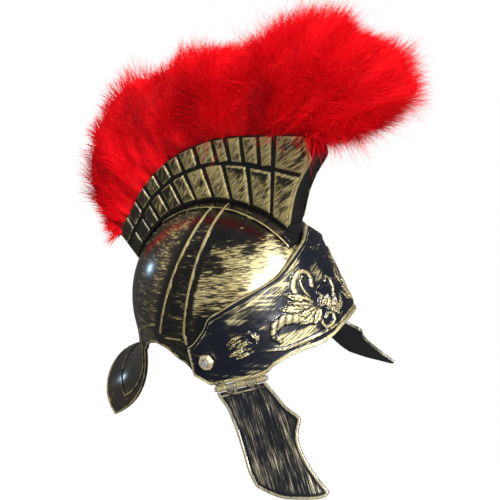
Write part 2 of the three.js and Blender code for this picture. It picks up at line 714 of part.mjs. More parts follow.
// Hinge of a cheek guard on the wearer's right: its line, the way down along the guard, and outwards
const hinge = (() => {
  const low = -VISOR_DROP - HINGE_BELOW;
  const start = visorPoint(HINGE_BACK_TURN, low, HINGE_PROUD);
  const end = visorPoint(HINGE_FRONT_TURN, low + HINGE_RISE, -HINGE_FRONT_INSET);
  const length = start.distanceTo(end);
  const along = end.sub(start).normalize();
  const swing = rad(GUARD_SWING);
  const side = V(-1, 0, 0);
  const out = side.addScaledVector(along, -side.dot(along)).normalize();
  const hang = along.clone().cross(out);
  if (hang.z > 0) hang.negate();
  const down = hang.clone().multiplyScalar(Math.cos(swing)).addScaledVector(out, Math.sin(swing));
  const face = along.clone().cross(down);
  if (face.x > 0) face.negate();
  return { start, length, along, down, face };
})();

const hingeAt = (u) => hinge.start.clone().addScaledVector(hinge.along, u);
const guardAt = (u, v, w) => hingeAt(u).addScaledVector(hinge.down, v).addScaledVector(hinge.face, w);

function knuckleSpans(first) {
  const pitch = hinge.length / KNUCKLES;
  const spans = [];
  for (let i = first; i < KNUCKLES; i += 2) {
    spans.push([i * pitch + RUN_GAP / 2, (i + 1) * pitch - RUN_GAP / 2]);
  }
  return spans;
}

function slab(corners, normal, thick) {
  const low = corners.map((p) => p.clone().addScaledVector(normal, -thick / 2));
  const high = corners.map((p) => p.clone().addScaledVector(normal, thick / 2));
  return loft([low, high]);
}

// The knuckles of one half of a hinge, each with its leaf up or down to the plate, before boring
function knuckles(first, direction, normal, reach) {
  const thick = 2 * (KNUCKLE_RADIUS - PIN_RADIUS);
  return knuckleSpans(first).flatMap(([a, b]) => {
    const foot = (u, v) => hingeAt(u).addScaledVector(direction, v);
    return [
      bar(hingeAt(a), hingeAt(b), KNUCKLE_RADIUS, HINGE_SIDES),
      slab([foot(a, 0), foot(b, 0), foot(b, reach), foot(a, reach)], normal, thick),
    ];
  });
}

function pinBore() {
  return bar(hingeAt(-CUT_PAST), hingeAt(hinge.length + CUT_PAST), PIN_RADIUS + RUN_GAP, HINGE_SIDES);
}

function makeVisor() {
  const face = visorFace();
  const rise = V(0, 0, 1);
  const normal = hinge.along.clone().cross(rise).normalize();
  const side = [
    ...visorRelief(),
    ...knuckles(0, rise, normal, VISOR_LEAF),
    bar(pivotAt(padFace + RUN_GAP), pivotAt(face), PAD_RADIUS, ROUND_SIDES),
  ];
  const bores = union([
    pinBore(),
    bar(pivotAt(padFace - CUT_PAST), pivotAt(face + CUT_PAST), boltBore, ROUND_SIDES),
  ]);
  const whole = union([visorShell(), ...side, ...side.map(mirrored)]);
  return whole.subtract(bores).subtract(mirrored(bores));
}

function visorFace() {
  const side = -visorPoint(VISOR_TURN, PIVOT_Z, 0).x;
  return side * Math.sqrt(1 - (PIVOT_Y / BOWL_HALF_LENGTH) ** 2) + BOSS_PROUD;
}

// Outline of a cheek guard as shares of its width along the hinge and of its length down from it
const GUARD = {
  columns: ['across', 'down'],
  rows: [
    [0.01, 0.04], [0.068, 0.11], [0.145, 0.379], [0.192, 0.607], [0.217, 0.776], [0.283, 0.844],
    [0.524, 0.939], [0.712, 0.976], [0.931, 1], [1, 0.959], [0.885, 0.788], [0.814, 0.637], [0.801, 0.541],
    [0.832, 0.436], [0.874, 0.357], [0.758, 0.251], [0.684, 0.15], [0.586, 0.04],
  ],
};

function guardOutline(inset) {
  const points = GUARD.rows.map(([u, v]) => new THREE.Vector2(u * GUARD_WIDTH, v * GUARD_LENGTH));
  const n = points.length;
  return points.map((p, i) => {
    const [before, after] = [points[(i + n - 1) % n], points[(i + 1) % n]];
    const a = p.clone().sub(before).normalize();
    const b = after.clone().sub(p).normalize();
    const normal = new THREE.Vector2(-(a.y + b.y), a.x + b.x).normalize();
    const cut = inset / Math.max(0.55, Math.abs(normal.x * -a.y + normal.y * a.x));
    return p.clone().addScaledVector(normal, -cut);
  });
}

// A plate with the guard's outline, between two heights off its middle plane, bowed across its width
function guardPlate(inset, low, high) {
  const flat = guardOutline(inset);
  if (THREE.ShapeUtils.isClockWise(flat)) flat.reverse();
  const faces = THREE.ShapeUtils.triangulateShape(flat, []);
  const n = flat.length;
  const positions = [];
  const triangles = [];
  for (const level of [low, high]) {
    for (const p of flat) {
      const across = 2 * p.x / GUARD_WIDTH - 1;
      const bow = GUARD_BOW * (1 - across * across) * p.y / GUARD_LENGTH;
      const q = guardAt(p.x, p.y, level + bow);
      positions.push(q.x, q.y, q.z);
    }
  }
  for (const [a, b, c] of faces) triangles.push(a, b, c, n + a, n + c, n + b);
  for (let i = 0; i < n; i += 1) {
    const k = (i + 1) % n;
    triangles.push(i, n + i, n + k, i, n + k, k);
  }
  let made = solid(positions, triangles);
  if (made.volume() < 0) made = solid(positions, triangles.reverse());
  return made;
}

function makeGuard() {
  const half = GUARD_WALL / 2;
  const rim = guardPlate(0, -half, half + GUARD_RIM_RAISE);
  const panel = guardPlate(GUARD_RIM_WIDTH, half, half + CUT_PAST);
  const parts = [
    rim.subtract(panel),
    ...knuckles(1, hinge.down, hinge.face, GUARD_LEAF),
  ];
  return union(parts).subtract(pinBore());
}

function makePin() {
  const [low, high] = [-RUN_GAP, hinge.length + RUN_GAP];
  const head = PIN_RADIUS + PIN_HEAD_PROUD;
  return union([
    bar(hingeAt(low - PIN_HEAD_LENGTH / 2), hingeAt(high + PIN_HEAD_LENGTH / 2), PIN_RADIUS, HINGE_SIDES),
    bar(hingeAt(low - PIN_HEAD_LENGTH), hingeAt(low), head, HINGE_SIDES),
    bar(hingeAt(high), hingeAt(high + PIN_HEAD_LENGTH), head, HINGE_SIDES),
  ]);
}

const nutInner = visorFace() + RUN_GAP;
const nutOuter = nutInner + NUT_HEIGHT;

function makeBolt() {
  const under = padInner - SEAT_GAP;
  const shank = [pivotAt(under - BOLT_HEAD_HEIGHT / 2), pivotAt(nutOuter + BOLT_STICK_OUT)];
  return union([
    bar(pivotAt(under - BOLT_HEAD_HEIGHT), pivotAt(under), BOLT_HEAD_RADIUS, ROUND_SIDES),
    bar(...shank, BOLT_RADIUS, ROUND_SIDES),
  ]);
}

function makeNut() {
  const hex = bar(pivotAt(nutInner), pivotAt(nutOuter), NUT_RADIUS, 6);
  const bore = bar(pivotAt(nutInner - CUT_PAST), pivotAt(nutOuter + CUT_PAST), boltBore, ROUND_SIDES);
  return hex.subtract(bore);
}

const helmet = new THREE.Group();
helmet.position.z = -(BOWL_HEIGHT - BOWL_WALL);

function addPiece(name, manifold, look) {
  const material = new THREE.MeshStandardMaterial(COLOURS[look]);
  const mesh = new THREE.Mesh(geometryOf(manifold), material);
  mesh.name = name;
  helmet.add(mesh);
}

addPiece('bowl', makeBowl(), 'bowl');
addPiece('crest_holder', makeCrestHolder(), 'crest');
addPiece('plume', makePlume(), 'plume');
addPiece('brow_visor', makeVisor(), 'visor');

const rightSide = [
  ['cheek_guard', makeGuard(), 'guard'],
  ['cheek_hinge_pin', makePin(), 'steel'],
  ['pivot_bolt', makeBolt(), 'steel'],
  ['pivot_nut', makeNut(), 'brass'],
];
for (const [name, right, look] of rightSide) {
  addPiece(`${name}_right`, right, look);
  addPiece(`${name}_left`, mirrored(right), look);
}

export default helmet;
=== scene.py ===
import math

import bpy
import numpy as np
from mathutils import Matrix, Vector


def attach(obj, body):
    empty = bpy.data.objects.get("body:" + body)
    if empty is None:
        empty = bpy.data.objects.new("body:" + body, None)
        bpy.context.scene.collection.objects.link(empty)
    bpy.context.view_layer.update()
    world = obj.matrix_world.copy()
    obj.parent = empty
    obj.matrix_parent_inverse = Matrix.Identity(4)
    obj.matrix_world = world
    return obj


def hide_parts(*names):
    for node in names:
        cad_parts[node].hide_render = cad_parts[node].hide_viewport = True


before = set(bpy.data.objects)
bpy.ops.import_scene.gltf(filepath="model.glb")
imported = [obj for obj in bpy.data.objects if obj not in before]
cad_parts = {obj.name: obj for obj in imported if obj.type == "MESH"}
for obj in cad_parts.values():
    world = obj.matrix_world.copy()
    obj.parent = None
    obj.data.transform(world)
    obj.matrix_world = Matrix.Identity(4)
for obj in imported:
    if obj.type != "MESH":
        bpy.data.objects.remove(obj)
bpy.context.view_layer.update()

# Sizes in millimetres, measured from the middle of the dome, as in the part's source
HALF_WIDTH, HALF_LENGTH, HEIGHT, WALL = 96.2, 114.6, 112.2, 3.0
CROWN_INSIDE = HEIGHT - WALL
VISOR_TURN, VISOR_PEAK, VISOR_DROP, VISOR_WALL = 89.0, 69.0, 50.0, 2.5
SIDE_GAP, FRONT_GAP, SIDE_FLARE, FRONT_FLARE, TOP_BEAD = 2.9, 4.2, 0.043, 0.267, 0.55
PIVOT_Y, PIVOT_Z = -20.7, -26.0
HINGE = np.array([-103.1, -23.108, -54.2])
HINGE_LENGTH, KNUCKLES, KNUCKLE_RADIUS, PIN_RADIUS, RUN_GAP = 48.2, 5, 3.0, 1.4, 0.35
GUARD_WIDTH, GUARD_LENGTH, GUARD_WALL, GUARD_BOW = 82.3, 107.3, 3.0, 3.0
GUARD_SWING = math.radians(29.6)
CREST_HEIGHT, CREST_BASE, CREST_TOP, BRICK_RAISE = 90.0, 36.8, 48.9, 2.2
CREST_FRONT_TURN, CREST_BACK_TURN, CREST_TOP_FRONT_TURN, CREST_TOP_BACK_TURN = 52.3, 57.4, 40.2, 48.4
CREST_SPAN, CREST_LIP, LIP_END, CREST_DISH, CHANNEL_SHOWN = 217.0, 9.4, 0.06, 3.0, 6.0
BRICK_FOOT, BRICK_GROOVE, BRICK_END = 3.0, 3.6, 0.004
BRUSH_SLANT = math.radians(52)
STRIP_HALF, STRIP_FRONT, STRIP_BACK = 32.0, -60, 24
# The slanted band: where its middle is at the crown and how it leans, its width there and how it widens
BAND_Y, BAND_SLOPE, BAND_WIDTH, BAND_SPREAD = -30.7, 0.43, 13, 0.16
# Where the neck guard starts and where its notch ends, in degrees round from the front
NECK_TURN, NOTCH_TURN = 128.9, 133
RIM_LEVEL = 0.45
# How far the mirrored side's brush strokes are moved, so that they differ
STROKE_SHIFT = (37, 11, 5)

rng = np.random.default_rng(11)
LATTICE = rng.random((32, 32, 32))


def noise(p):
    """Smooth noise from -1 to 1 at points, with one cell to a unit."""
    i = np.floor(p).astype(int)
    f = p - i
    f = f * f * (3 - 2 * f)
    total = 0
    for dx in (0, 1):
        for dy in (0, 1):
            for dz in (0, 1):
                weight = 1
                for axis, d in enumerate((dx, dy, dz)):
                    weight = weight * (f[..., axis] if d else 1 - f[..., axis])
                cell = [(i[..., axis] + d) % 32 for axis, d in enumerate((dx, dy, dz))]
                total = total + weight * LATTICE[cell[0], cell[1], cell[2]]
    return 2 * total - 1


def curve(points):
    """A smooth curve through rows of (place, value) that never overshoots, as a function."""
    xs, ys = np.array(points, float).T
    h = np.diff(xs)
    d = np.diff(ys) / h
    m = np.concatenate([[d[0]], (d[:-1] + d[1:]) / 2, [d[-1]]])
    m[1:-1][d[:-1] * d[1:] <= 0] = 0
    for k, slope in enumerate(d):
        limit = 3 * abs(slope)
        m[k] = np.clip(m[k], -limit, limit)
        m[k + 1] = np.clip(m[k + 1], -limit, limit)

    def at(x):
        x = np.clip(x, xs[0], xs[-1])
        k = np.clip(np.searchsorted(xs, x, side="right") - 1, 0, len(h) - 1)
        t = (x - xs[k]) / h[k]
        return ((1 + 2 * t) * (1 - t) ** 2 * ys[k] + t * (1 - t) ** 2 * h[k] * m[k]
                + t * t * (3 - 2 * t) * ys[k + 1] + t * t * (t - 1) * h[k] * m[k + 1])

    return at


def step(low, high, x):
    t = np.clip((x - low) / (high - low), 0, 1)
    return t * t * (3 - 2 * t)


def mix(a, b, t):
    return a + (b - a) * t


def unit(v):
    return v / np.maximum(np.linalg.norm(v, axis=-1, keepdims=True), 1e-9)


def vec(*xyz):
    return np.stack(np.broadcast_arrays(*[np.asarray(c, float) for c in xyz]), -1)


# A skin gathers sheets of points with their paint: how much gold, and where the brush strokes run
class Skin:
    def __init__(self):
        self.points, self.quads, self.gold, self.stroke, self.tone = [], [], [], [], []
        self.count = 0

    def add(self, points, quads, gold, stroke, tone):
        points = np.asarray(points, float).reshape(-1, 3)
        n = len(points)
        self.points.append(points)
        self.quads.append(np.asarray(quads).reshape(-1, 4) + self.count)
        self.gold.append(np.broadcast_to(np.asarray(gold, float).reshape(-1), (n,)))
        self.tone.append(np.broadcast_to(np.asarray(tone, float).reshape(-1), (n,)))
        self.stroke.append(points if stroke is None else stroke.reshape(-1, 3))
        self.count += n

    def grid(self, sheet, gold=0.3, stroke=None, tone=0.0, wrap=False):
        rows, cols = sheet.shape[:2]
        self.add(sheet, grid_quads(rows, cols, wrap), gold, stroke, tone)

    def whole(self):
        """All points, quads, gold, strokes and tones so far."""
        return [np.concatenate(x) for x in (self.points, self.quads, self.gold, self.stroke, self.tone)]

    def join(self, other):
        self.add(*other.whole())

    def both_sides(self):
        """Adds the mirror image of everything so far."""
        points, quads, gold, stroke, tone = self.whole()
        self.add(points * [-1, 1, 1], quads[:, ::-1], gold, stroke + STROKE_SHIFT, tone)


def grid_quads(rows, cols, wrap=False):
    i, j = np.meshgrid(np.arange(rows - 1), np.arange(cols if wrap else cols - 1), indexing="ij")
    k = (j + 1) % cols
    return np.stack([i * cols + j, i * cols + k, (i + 1) * cols + k, (i + 1) * cols + j], -1)


def make_mesh(name, points, faces, attributes, sharp=None):
    mesh = bpy.data.meshes.new(name)
    row = (np.asarray(points, float) - [0, 0, CROWN_INSIDE]) / 1000
    sides = faces.shape[1]
    mesh.vertices.add(len(row))
    mesh.vertices.foreach_set("co", row.astype(np.float32).ravel())
    mesh.loops.add(faces.size)
    mesh.loops.foreach_set("vertex_index", faces.astype(np.int32).ravel())
    mesh.polygons.add(len(faces))
    mesh.polygons.foreach_set("loop_start", np.arange(0, faces.size, sides, dtype=np.int32))
    mesh.update(calc_edges=True)
    for key, values in attributes.items():
        values = np.asarray(values, np.float32)
        kind = "FLOAT" if values.ndim == 1 else "FLOAT_VECTOR"
        made = mesh.attributes.new(key, kind, "POINT")
        made.data.foreach_set("value" if values.ndim == 1 else "vector", values.ravel())
    mesh.validate()
    mesh.shade_smooth()
    if sharp:
        mesh.set_sharp_from_angle(angle=math.radians(sharp))
    made = bpy.data.objects.new(name, mesh)
    bpy.context.scene.collection.objects.link(made)
    return made


def place(name, skin, body, material, replaces, sharp=40):
    points, quads, gold, stroke, tone = skin.whole()
    made = make_mesh(name, points, quads, {"gold": gold, "tone": tone, "stroke": stroke / 1000}, sharp)
    made.data.materials.append(material)
    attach(made, body)
    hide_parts(*replaces)


# Profile of a raised bar: shares of its width across and of its height up
BAR = np.array([(-0.5, -0.7), (-0.47, 0.3), (-0.3, 0.85), (0, 1), (0.3, 0.85), (0.47, 0.3), (0.5, -0.7)])


def add_bar(skin, path, normal, width, height, gold):
    """A raised bar along a path that lies on a surface."""
    path, normal = np.asarray(path, float), unit(np.asarray(normal, float))
    tangent = unit(np.gradient(path, axis=0))
    side = unit(np.cross(tangent, normal))
    normal = np.cross(side, tangent)
    length = np.concatenate([[0], np.cumsum(np.linalg.norm(np.diff(path, axis=0), axis=1))])
    ends = np.sqrt(np.clip(np.minimum(length, length[-1] - length) / (0.6 * width), 0.02, 1))
    wobble = 1 + 0.1 * noise(vec(length / 5, 0, width))
    across = (BAR[:, 0] * width)[None, :, None] * (ends * wobble)[:, None, None]
    up = (BAR[:, 1] * height)[None, :, None]
    sheet = path[:, None] + side[:, None] * across + normal[:, None] * up * ends[:, None, None]
    paint = gold - 0.55 * step(0.26, 0.46, np.abs(BAR[:, 0]))[None]
    paint = paint + 0.2 * noise(vec(length / 6, 3, 0))[:, None]
    stroke = vec(length[:, None], across[:, :, 0], 0 * across[:, :, 0])
    skin.grid(sheet, np.broadcast_to(paint, (len(path), len(BAR))), stroke)


def add_rod(skin, start, end, radius, sides, bevel, gold):
    """A round rod with bevelled ends."""
    start, end = np.asarray(start, float), np.asarray(end, float)
    axis = unit(end - start)
    helper = np.array([0, 0, 1.0]) if abs(axis[2]) < 0.9 else np.array([1.0, 0, 0])
    u = unit(helper - axis * (helper @ axis))
    v = np.cross(axis, u)
    a = 2 * math.pi * np.arange(sides) / sides
    circle = u * np.cos(a)[:, None] + v * np.sin(a)[:, None]
    rings = []
    for at, r in ((start, radius * 0.02), (start, radius - bevel), (start + axis * bevel, radius),
                  (end - axis * bevel, radius), (end, radius - bevel), (end, radius * 0.02)):
        rings.append(at + circle * r)
    skin.grid(np.array(rings), gold, wrap=True)


# Bowl
RIM_DROP = curve([
    (0, 0.45), (40, 0.45), (58, 0.77), (72, 1), (84, 1), (91.5, 0.93), (94, 0.7), (98, 0.57), (104, 0.35),
    (110, 0.25), (115, 0.21), (120, 0.26), (125, 0.36), (128.5, 0.5),
])
RIM_CUT = curve([(129, 0.155), (130, 0.3), (131, 0.5), (132, 0.72), (133, 1), (180, 1)])


def skirt(turn, t):
    """A point of the skirt under the dome's widest level, at a share of the way down it."""
    a = np.radians(turn)
    level = vec(-HALF_WIDTH * np.sin(a), -HALF_LENGTH * np.cos(a), 0)
    share = np.clip((RIM_DROP(turn) - RIM_LEVEL) / (1 - RIM_LEVEL), -1, 1)
    drop = np.where(turn <= 40, 20, 20 + 24 * share)
    around = np.pi / 2 * np.clip((turn - NOTCH_TURN) / (180 - NOTCH_TURN), 0, 1)
    sine, cosine = np.sin(around), np.maximum(np.cos(around), 0)
    neck = vec(-75 * cosine ** 1.11, mix(143, 171, sine ** 1.11), -mix(99.5, 53, sine))
    is_neck = (turn >= NECK_TURN)[..., None]
    end = np.where(is_neck, neck, level * [1, 1, 0] + vec(0, 0, -drop))
    lowered = vec(level[..., 0], level[..., 1] + 0.03 * (end[..., 1] - level[..., 1]), 0.8 * end[..., 2])
    bend = np.where(is_neck, lowered, level + vec(0, 0, -drop / 2))
    t = t[..., None]
    return (1 - t) ** 2 * level + 2 * t * (1 - t) * bend + t * t * end


def bowl_point(turn, fall):
    turn, fall = np.broadcast_arrays(np.asarray(turn, float), np.asarray(fall, float))
    a, f = np.radians(turn), np.minimum(fall, 1) * np.pi / 2
    dome = vec(-HALF_WIDTH * np.sin(a) * np.sin(f), -HALF_LENGTH * np.cos(a) * np.sin(f), HEIGHT * np.cos(f))
    cut = np.where(turn < NECK_TURN, 1, RIM_CUT(turn))
    under = skirt(turn, np.maximum(fall - 1, 0) * cut)
    return np.where((fall <= 1)[..., None], dome, under)


def bowl_normal(turn, fall):
    turn, fall = np.broadcast_arrays(np.asarray(turn, float), np.asarray(fall, float))
    p = bowl_point(turn, fall)
    above = np.maximum(p[..., 2], 0)
    dome = vec(p[..., 0] / HALF_WIDTH ** 2, p[..., 1] / HALF_LENGTH ** 2, above / HEIGHT ** 2)
    t = np.clip(turn, 133.8, 178)
    s = np.maximum(fall - 1, 0) * np.where(turn < NECK_TURN, 1, RIM_CUT(turn))
    across = skirt(t + 0.8, s) - skirt(t - 0.8, s)
    along = skirt(t, s + 1e-3) - skirt(t, s - 1e-3)
    neck = unit(np.cross(across, along))
    outward = vec(p[..., 0], p[..., 1], 0)
    neck = neck * np.sign((neck * outward).sum(-1))[..., None]
    neck[..., 0] = np.where(turn >= 179.9, 0, neck[..., 0])
    use_neck = ((turn >= NECK_TURN) & (fall > 1))[..., None]
    return unit(np.where(use_neck, neck, unit(dome)))


def on_bowl(y, z, lift=0.0):
    """A place on the wearer's right side of the bowl, from where it is seen from the side."""
    y, z = np.asarray(y, float), np.asarray(z, float)
    zz = np.maximum(z, 0)
    x = -HALF_WIDTH * np.sqrt(np.clip(1 - (y / HALF_LENGTH) ** 2 - (zz / HEIGHT) ** 2, 0, 1))
    n = unit(vec(x / HALF_WIDTH ** 2, y / HALF_LENGTH ** 2, zz / HEIGHT ** 2))
    return vec(x, y, z) + n * np.asarray(lift, float)[..., None], n


def over_bowl(x, turn, lift):
    k = np.sqrt(1 - (x / HALF_WIDTH) ** 2)
    a = np.radians(turn)
    p = vec(x, HALF_LENGTH * k * np.sin(a), HEIGHT * k * np.cos(a))
    n = unit(p / np.array([HALF_WIDTH, HALF_LENGTH, HEIGHT]) ** 2)
    return p + n * np.asarray(lift, float)[..., None], n


def band_at(fall):
    """Where the slanted band's middle is, and its width, at a height below the crown."""
    return BAND_Y + BAND_SLOPE * fall, BAND_WIDTH + BAND_SPREAD * fall


def band_line(place_, down):
    """The middle line of a rib, place_ 0 for the front one and 1 for the back one."""
    z = HEIGHT * np.cos(np.pi / 2 * np.minimum(down, 1))
    middle, width = band_at(HEIGHT - z)
    return on_bowl(middle + (place_ - 0.5) * width, z - np.maximum(down - 1, 0) * 44)


def bowl_paint(y, z):
    """How much gold is brushed on the bowl, and how brown it is there."""
    middle, width = band_at(np.minimum(HEIGHT - z, HEIGHT))
    ahead, behind = middle - width / 2 - y, y - middle - width / 2
    rear = step(70, 30, ahead)
    dabs = 0.2 * step(0.0, 0.5, noise(vec(y / 13, z / 9, 11))) * step(40, 62, z)
    in_front = step(2, 9, ahead) * (
        0.66 - dabs - 0.1 * rear - 0.34 * step(58, 84, z) - 0.24 * step(34, 6, z) * rear)
    at_back = step(2, 14, behind) * (0.42 - 0.2 * step(30, 80, behind))
    between = 0.32 * step(0, 2, -np.maximum(ahead, behind) + 2)
    neck = step(0, -30, z) * step(60, 90, y)
    return mix(in_front + at_back + between, 0.27, neck), step(0, 20, behind) * 0.4


def make_bowl():
    skin = Skin()
    turns = np.concatenate([
        np.linspace(0, 128.5, 88), np.linspace(129, 133, 17), np.linspace(134.2, 180, 34),
    ])
    falls = np.concatenate([np.linspace(0.004, 1, 54), np.linspace(1.035, 2, 28)])
    turn, fall = np.meshgrid(turns, falls)
    outer = bowl_point(turn, fall)
    inner = outer - bowl_normal(turn, fall) * WALL
    gold, tone = bowl_paint(outer[..., 1], outer[..., 2])
    around = np.radians(turn)
    stroke = vec(100 * around, 105 * fall + 10 * around, 0)
    skin.grid(outer, gold, stroke, tone)
    skin.grid(inner[::-1], 0.02, stroke[::-1])
    rim = np.stack([outer[-1], (outer[-1] + inner[-1]) / 2 + vec(0, 0, -0.5), inner[-1]])
    skin.grid(rim, 0.45)

    for place_, last in ((0, 1.28), (1, 1.02)):
        add_bar(skin, *band_line(place_, np.linspace(0.225, last, 70)), 3.1, 1.9, 0.86)
    # Thin lines: where they are seen from the side, from their back end to their front end
    lines = [
        ([(81, -6.5), (65, 1.5), (52, 7), (38, 8.5)], 1.9, 1.0),
        ([(28, -4), (18, -5), (8, -6)], 2.2, 1.2),
    ]
    for points, width, height in lines:
        share = np.linspace(0, len(points) - 1, 30)
        ys, zs = (np.interp(share, range(len(points)), column) for column in zip(*points))
        add_bar(skin, *on_bowl(ys, zs), width, height, 0.7)
    # Ridge round the rim behind the ears and round the neck guard, and the line inside it
    rim_turns = np.concatenate([
        np.linspace(93, 128.5, 46), np.linspace(129, 133, 30), np.linspace(134, 180, 60),
    ])
    edge = bowl_point(rim_turns, np.full_like(rim_turns, 2.0))
    edge_normal = bowl_normal(rim_turns, np.full_like(rim_turns, 1.96))
    add_bar(skin, edge - edge_normal * 0.6, edge_normal, 3.0, 1.5, 0.72)
    inset = np.linspace(0, 1, 80)
    line_fall = 1 + 0.80 * step(0, 0.25, inset) - 0.02 * step(0.25, 1, inset)
    line_turn = np.where(
        inset < 0.25, mix(131, 139, step(0, 0.25, inset)), mix(139, 180, (inset - 0.25) / 0.75))
    line = bowl_point(line_turn, line_fall)
    add_bar(skin, line, bowl_normal(line_turn, line_fall), 2.2, 1.2, 0.66)
    # Pad behind the visor's pivot
    face = HALF_WIDTH * math.sqrt(1 - (PIVOT_Y / HALF_LENGTH) ** 2) + 2.1
    add_rod(skin, (-face + 6, PIVOT_Y, PIVOT_Z), (-face, PIVOT_Y, PIVOT_Z), 9, 32, 0.4, 0.1)
    skin.both_sides()

    xs, strip_turns = np.meshgrid(np.linspace(-1, 1, 41), np.linspace(STRIP_FRONT, STRIP_BACK, 90))
    ends = np.minimum(strip_turns - STRIP_FRONT, STRIP_BACK - strip_turns) / 16
    edge = np.minimum(1 - np.abs(xs), ends)
    lift = -0.8 + 2.4 * step(0, 0.03, edge)
    sheet, _ = over_bowl(xs * STRIP_HALF, strip_turns, lift)
    stroke = vec(2.0 * strip_turns, xs * STRIP_HALF, 20)
    skin.grid(sheet, 0.13 + 0.1 * step(0.2, 0.05, 1 - np.abs(xs)), stroke)
    for side in (-1, 1):
        outer_line = over_bowl(side * (STRIP_HALF - 1.0), np.linspace(-59, 22.5, 90), 1.3)
        add_bar(skin, *outer_line, 2.0, 1.0, 0.85)
        inner_line = over_bowl(side * (STRIP_HALF - 6.0), np.linspace(-57, -18, 50), 1.5)
        add_bar(skin, *inner_line, 1.0, 0.4, 0.3)
    return skin


# Crest holder
CREST_RISE = curve([
    (0, 1), (0.044, 0.92), (0.141, 0.8), (0.225, 0.733), (0.337, 0.673), (0.423, 0.611), (0.563, 0.53),
    (0.736, 0.42), (0.88, 0.35), (1, 0.35),
])
FRONT_LIP = curve([(0, 0), (0.3, -0.06), (0.556, 0.33), (0.72, 0.9), (0.774, 1), (0.82, 0.75), (1, 0)])


def on_arc(turn, extra):
    a = np.radians(turn)
    return vec(0, (HALF_LENGTH + extra) * np.sin(a), (HEIGHT + extra) * np.cos(a))


def crest_point(along, up, across):
    along, up, across = np.broadcast_arrays(*[np.asarray(v, float) for v in (along, up, across)])
    base = on_arc(mix(-CREST_FRONT_TURN, CREST_BACK_TURN, along), 0)
    top = on_arc(mix(-CREST_TOP_FRONT_TURN, CREST_TOP_BACK_TURN, along), CREST_HEIGHT * CREST_RISE(along))
    p = mix(base, top, up[..., None])
    fade = np.clip(1 - along / LIP_END, 0, None)
    rise = unit(top - base)
    forward = vec(0, -rise[..., 2], rise[..., 1])
    p = p + forward * (CREST_LIP * fade * FRONT_LIP(up))[..., None]
    p = p - forward * (CREST_DISH * fade * (1 - across ** 2))[..., None]
    p[..., 0] = across * mix(CREST_BASE, CREST_TOP, up) / 2
    return p


# Bricks: the upright grooves as shares along the holder, and the groove between the two rows
GROOVES = {
    "lower": (0.096, 0.198, 0.299, 0.395, 0.488, 0.568, 0.648, 0.728, 0.808, 0.895),
    "upper": (0.093, 0.147, 0.208, 0.269, 0.325, 0.405, 0.483, 0.549, 0.625, 0.705, 0.787, 0.888),
}
BRICK_SPLIT = curve([(0, 0.6), (0.55, 0.63), (0.72, 0.6), (0.84, 0.55), (1, 0.53)])


def make_crest():
    skin = Skin()
    alongs = np.concatenate([np.linspace(0, 0.06, 8), np.linspace(0.07, 1, 90)])
    ups = np.linspace(0, 1, 40)
    along, up = np.meshgrid(alongs, ups)
    for side in (-1, 1):
        sheet = crest_point(along, up, side)
        stroke = vec(CREST_SPAN * along, up * 60, side * 40)
        skin.grid(sheet, 0.04, stroke)
    across, up = np.meshgrid(np.linspace(-1, 1, 31), ups)
    for end in (0.0, 1.0):
        sheet = crest_point(end, up, across)
        recess = step(0.79, 0.83, up) * (1 - step(0.86, 0.93, np.abs(across))) if end == 0 else 0 * up
        sheet = sheet + vec(0, 1, 0.4) * (5.5 * recess)[..., None]
        stroke = vec(up * 60, across * 24, 70)
        skin.grid(sheet, 0.1 + 0.12 * step(0.85, 1, np.abs(across)), stroke, 0.7 * recess)
    along, across = np.meshgrid(alongs, np.array([-1, -0.93, -0.88, -0.86, 0, 0.86, 0.88, 0.93, 1]))
    top = crest_point(along, 1, across)
    outward = unit(on_arc(mix(-CREST_TOP_FRONT_TURN, CREST_TOP_BACK_TURN, along), 0))
    top = top - outward * (CHANNEL_SHOWN * (np.abs(across) < 0.87))[..., None]
    skin.grid(top, 0.2)
    half = BRICK_GROOVE / CREST_SPAN / 2
    for row, grooves in GROOVES.items():
        starts, ends = [BRICK_END - half, *grooves], [*grooves, 1 - BRICK_END + half]
        for k, (start, end) in enumerate(zip(starts, ends)):
            add_brick(skin, start + half, end - half, row == "upper", k)
    for side in (-1, 1):
        ups = np.linspace(0.05, 0.99, 50)
        path = crest_point(BRICK_END, ups, side)
        normal = np.broadcast_to(unit(np.array([side, -0.9, 0.2])), path.shape)
        add_bar(skin, path, normal, 3.4, 1.6, 0.9)
    return skin


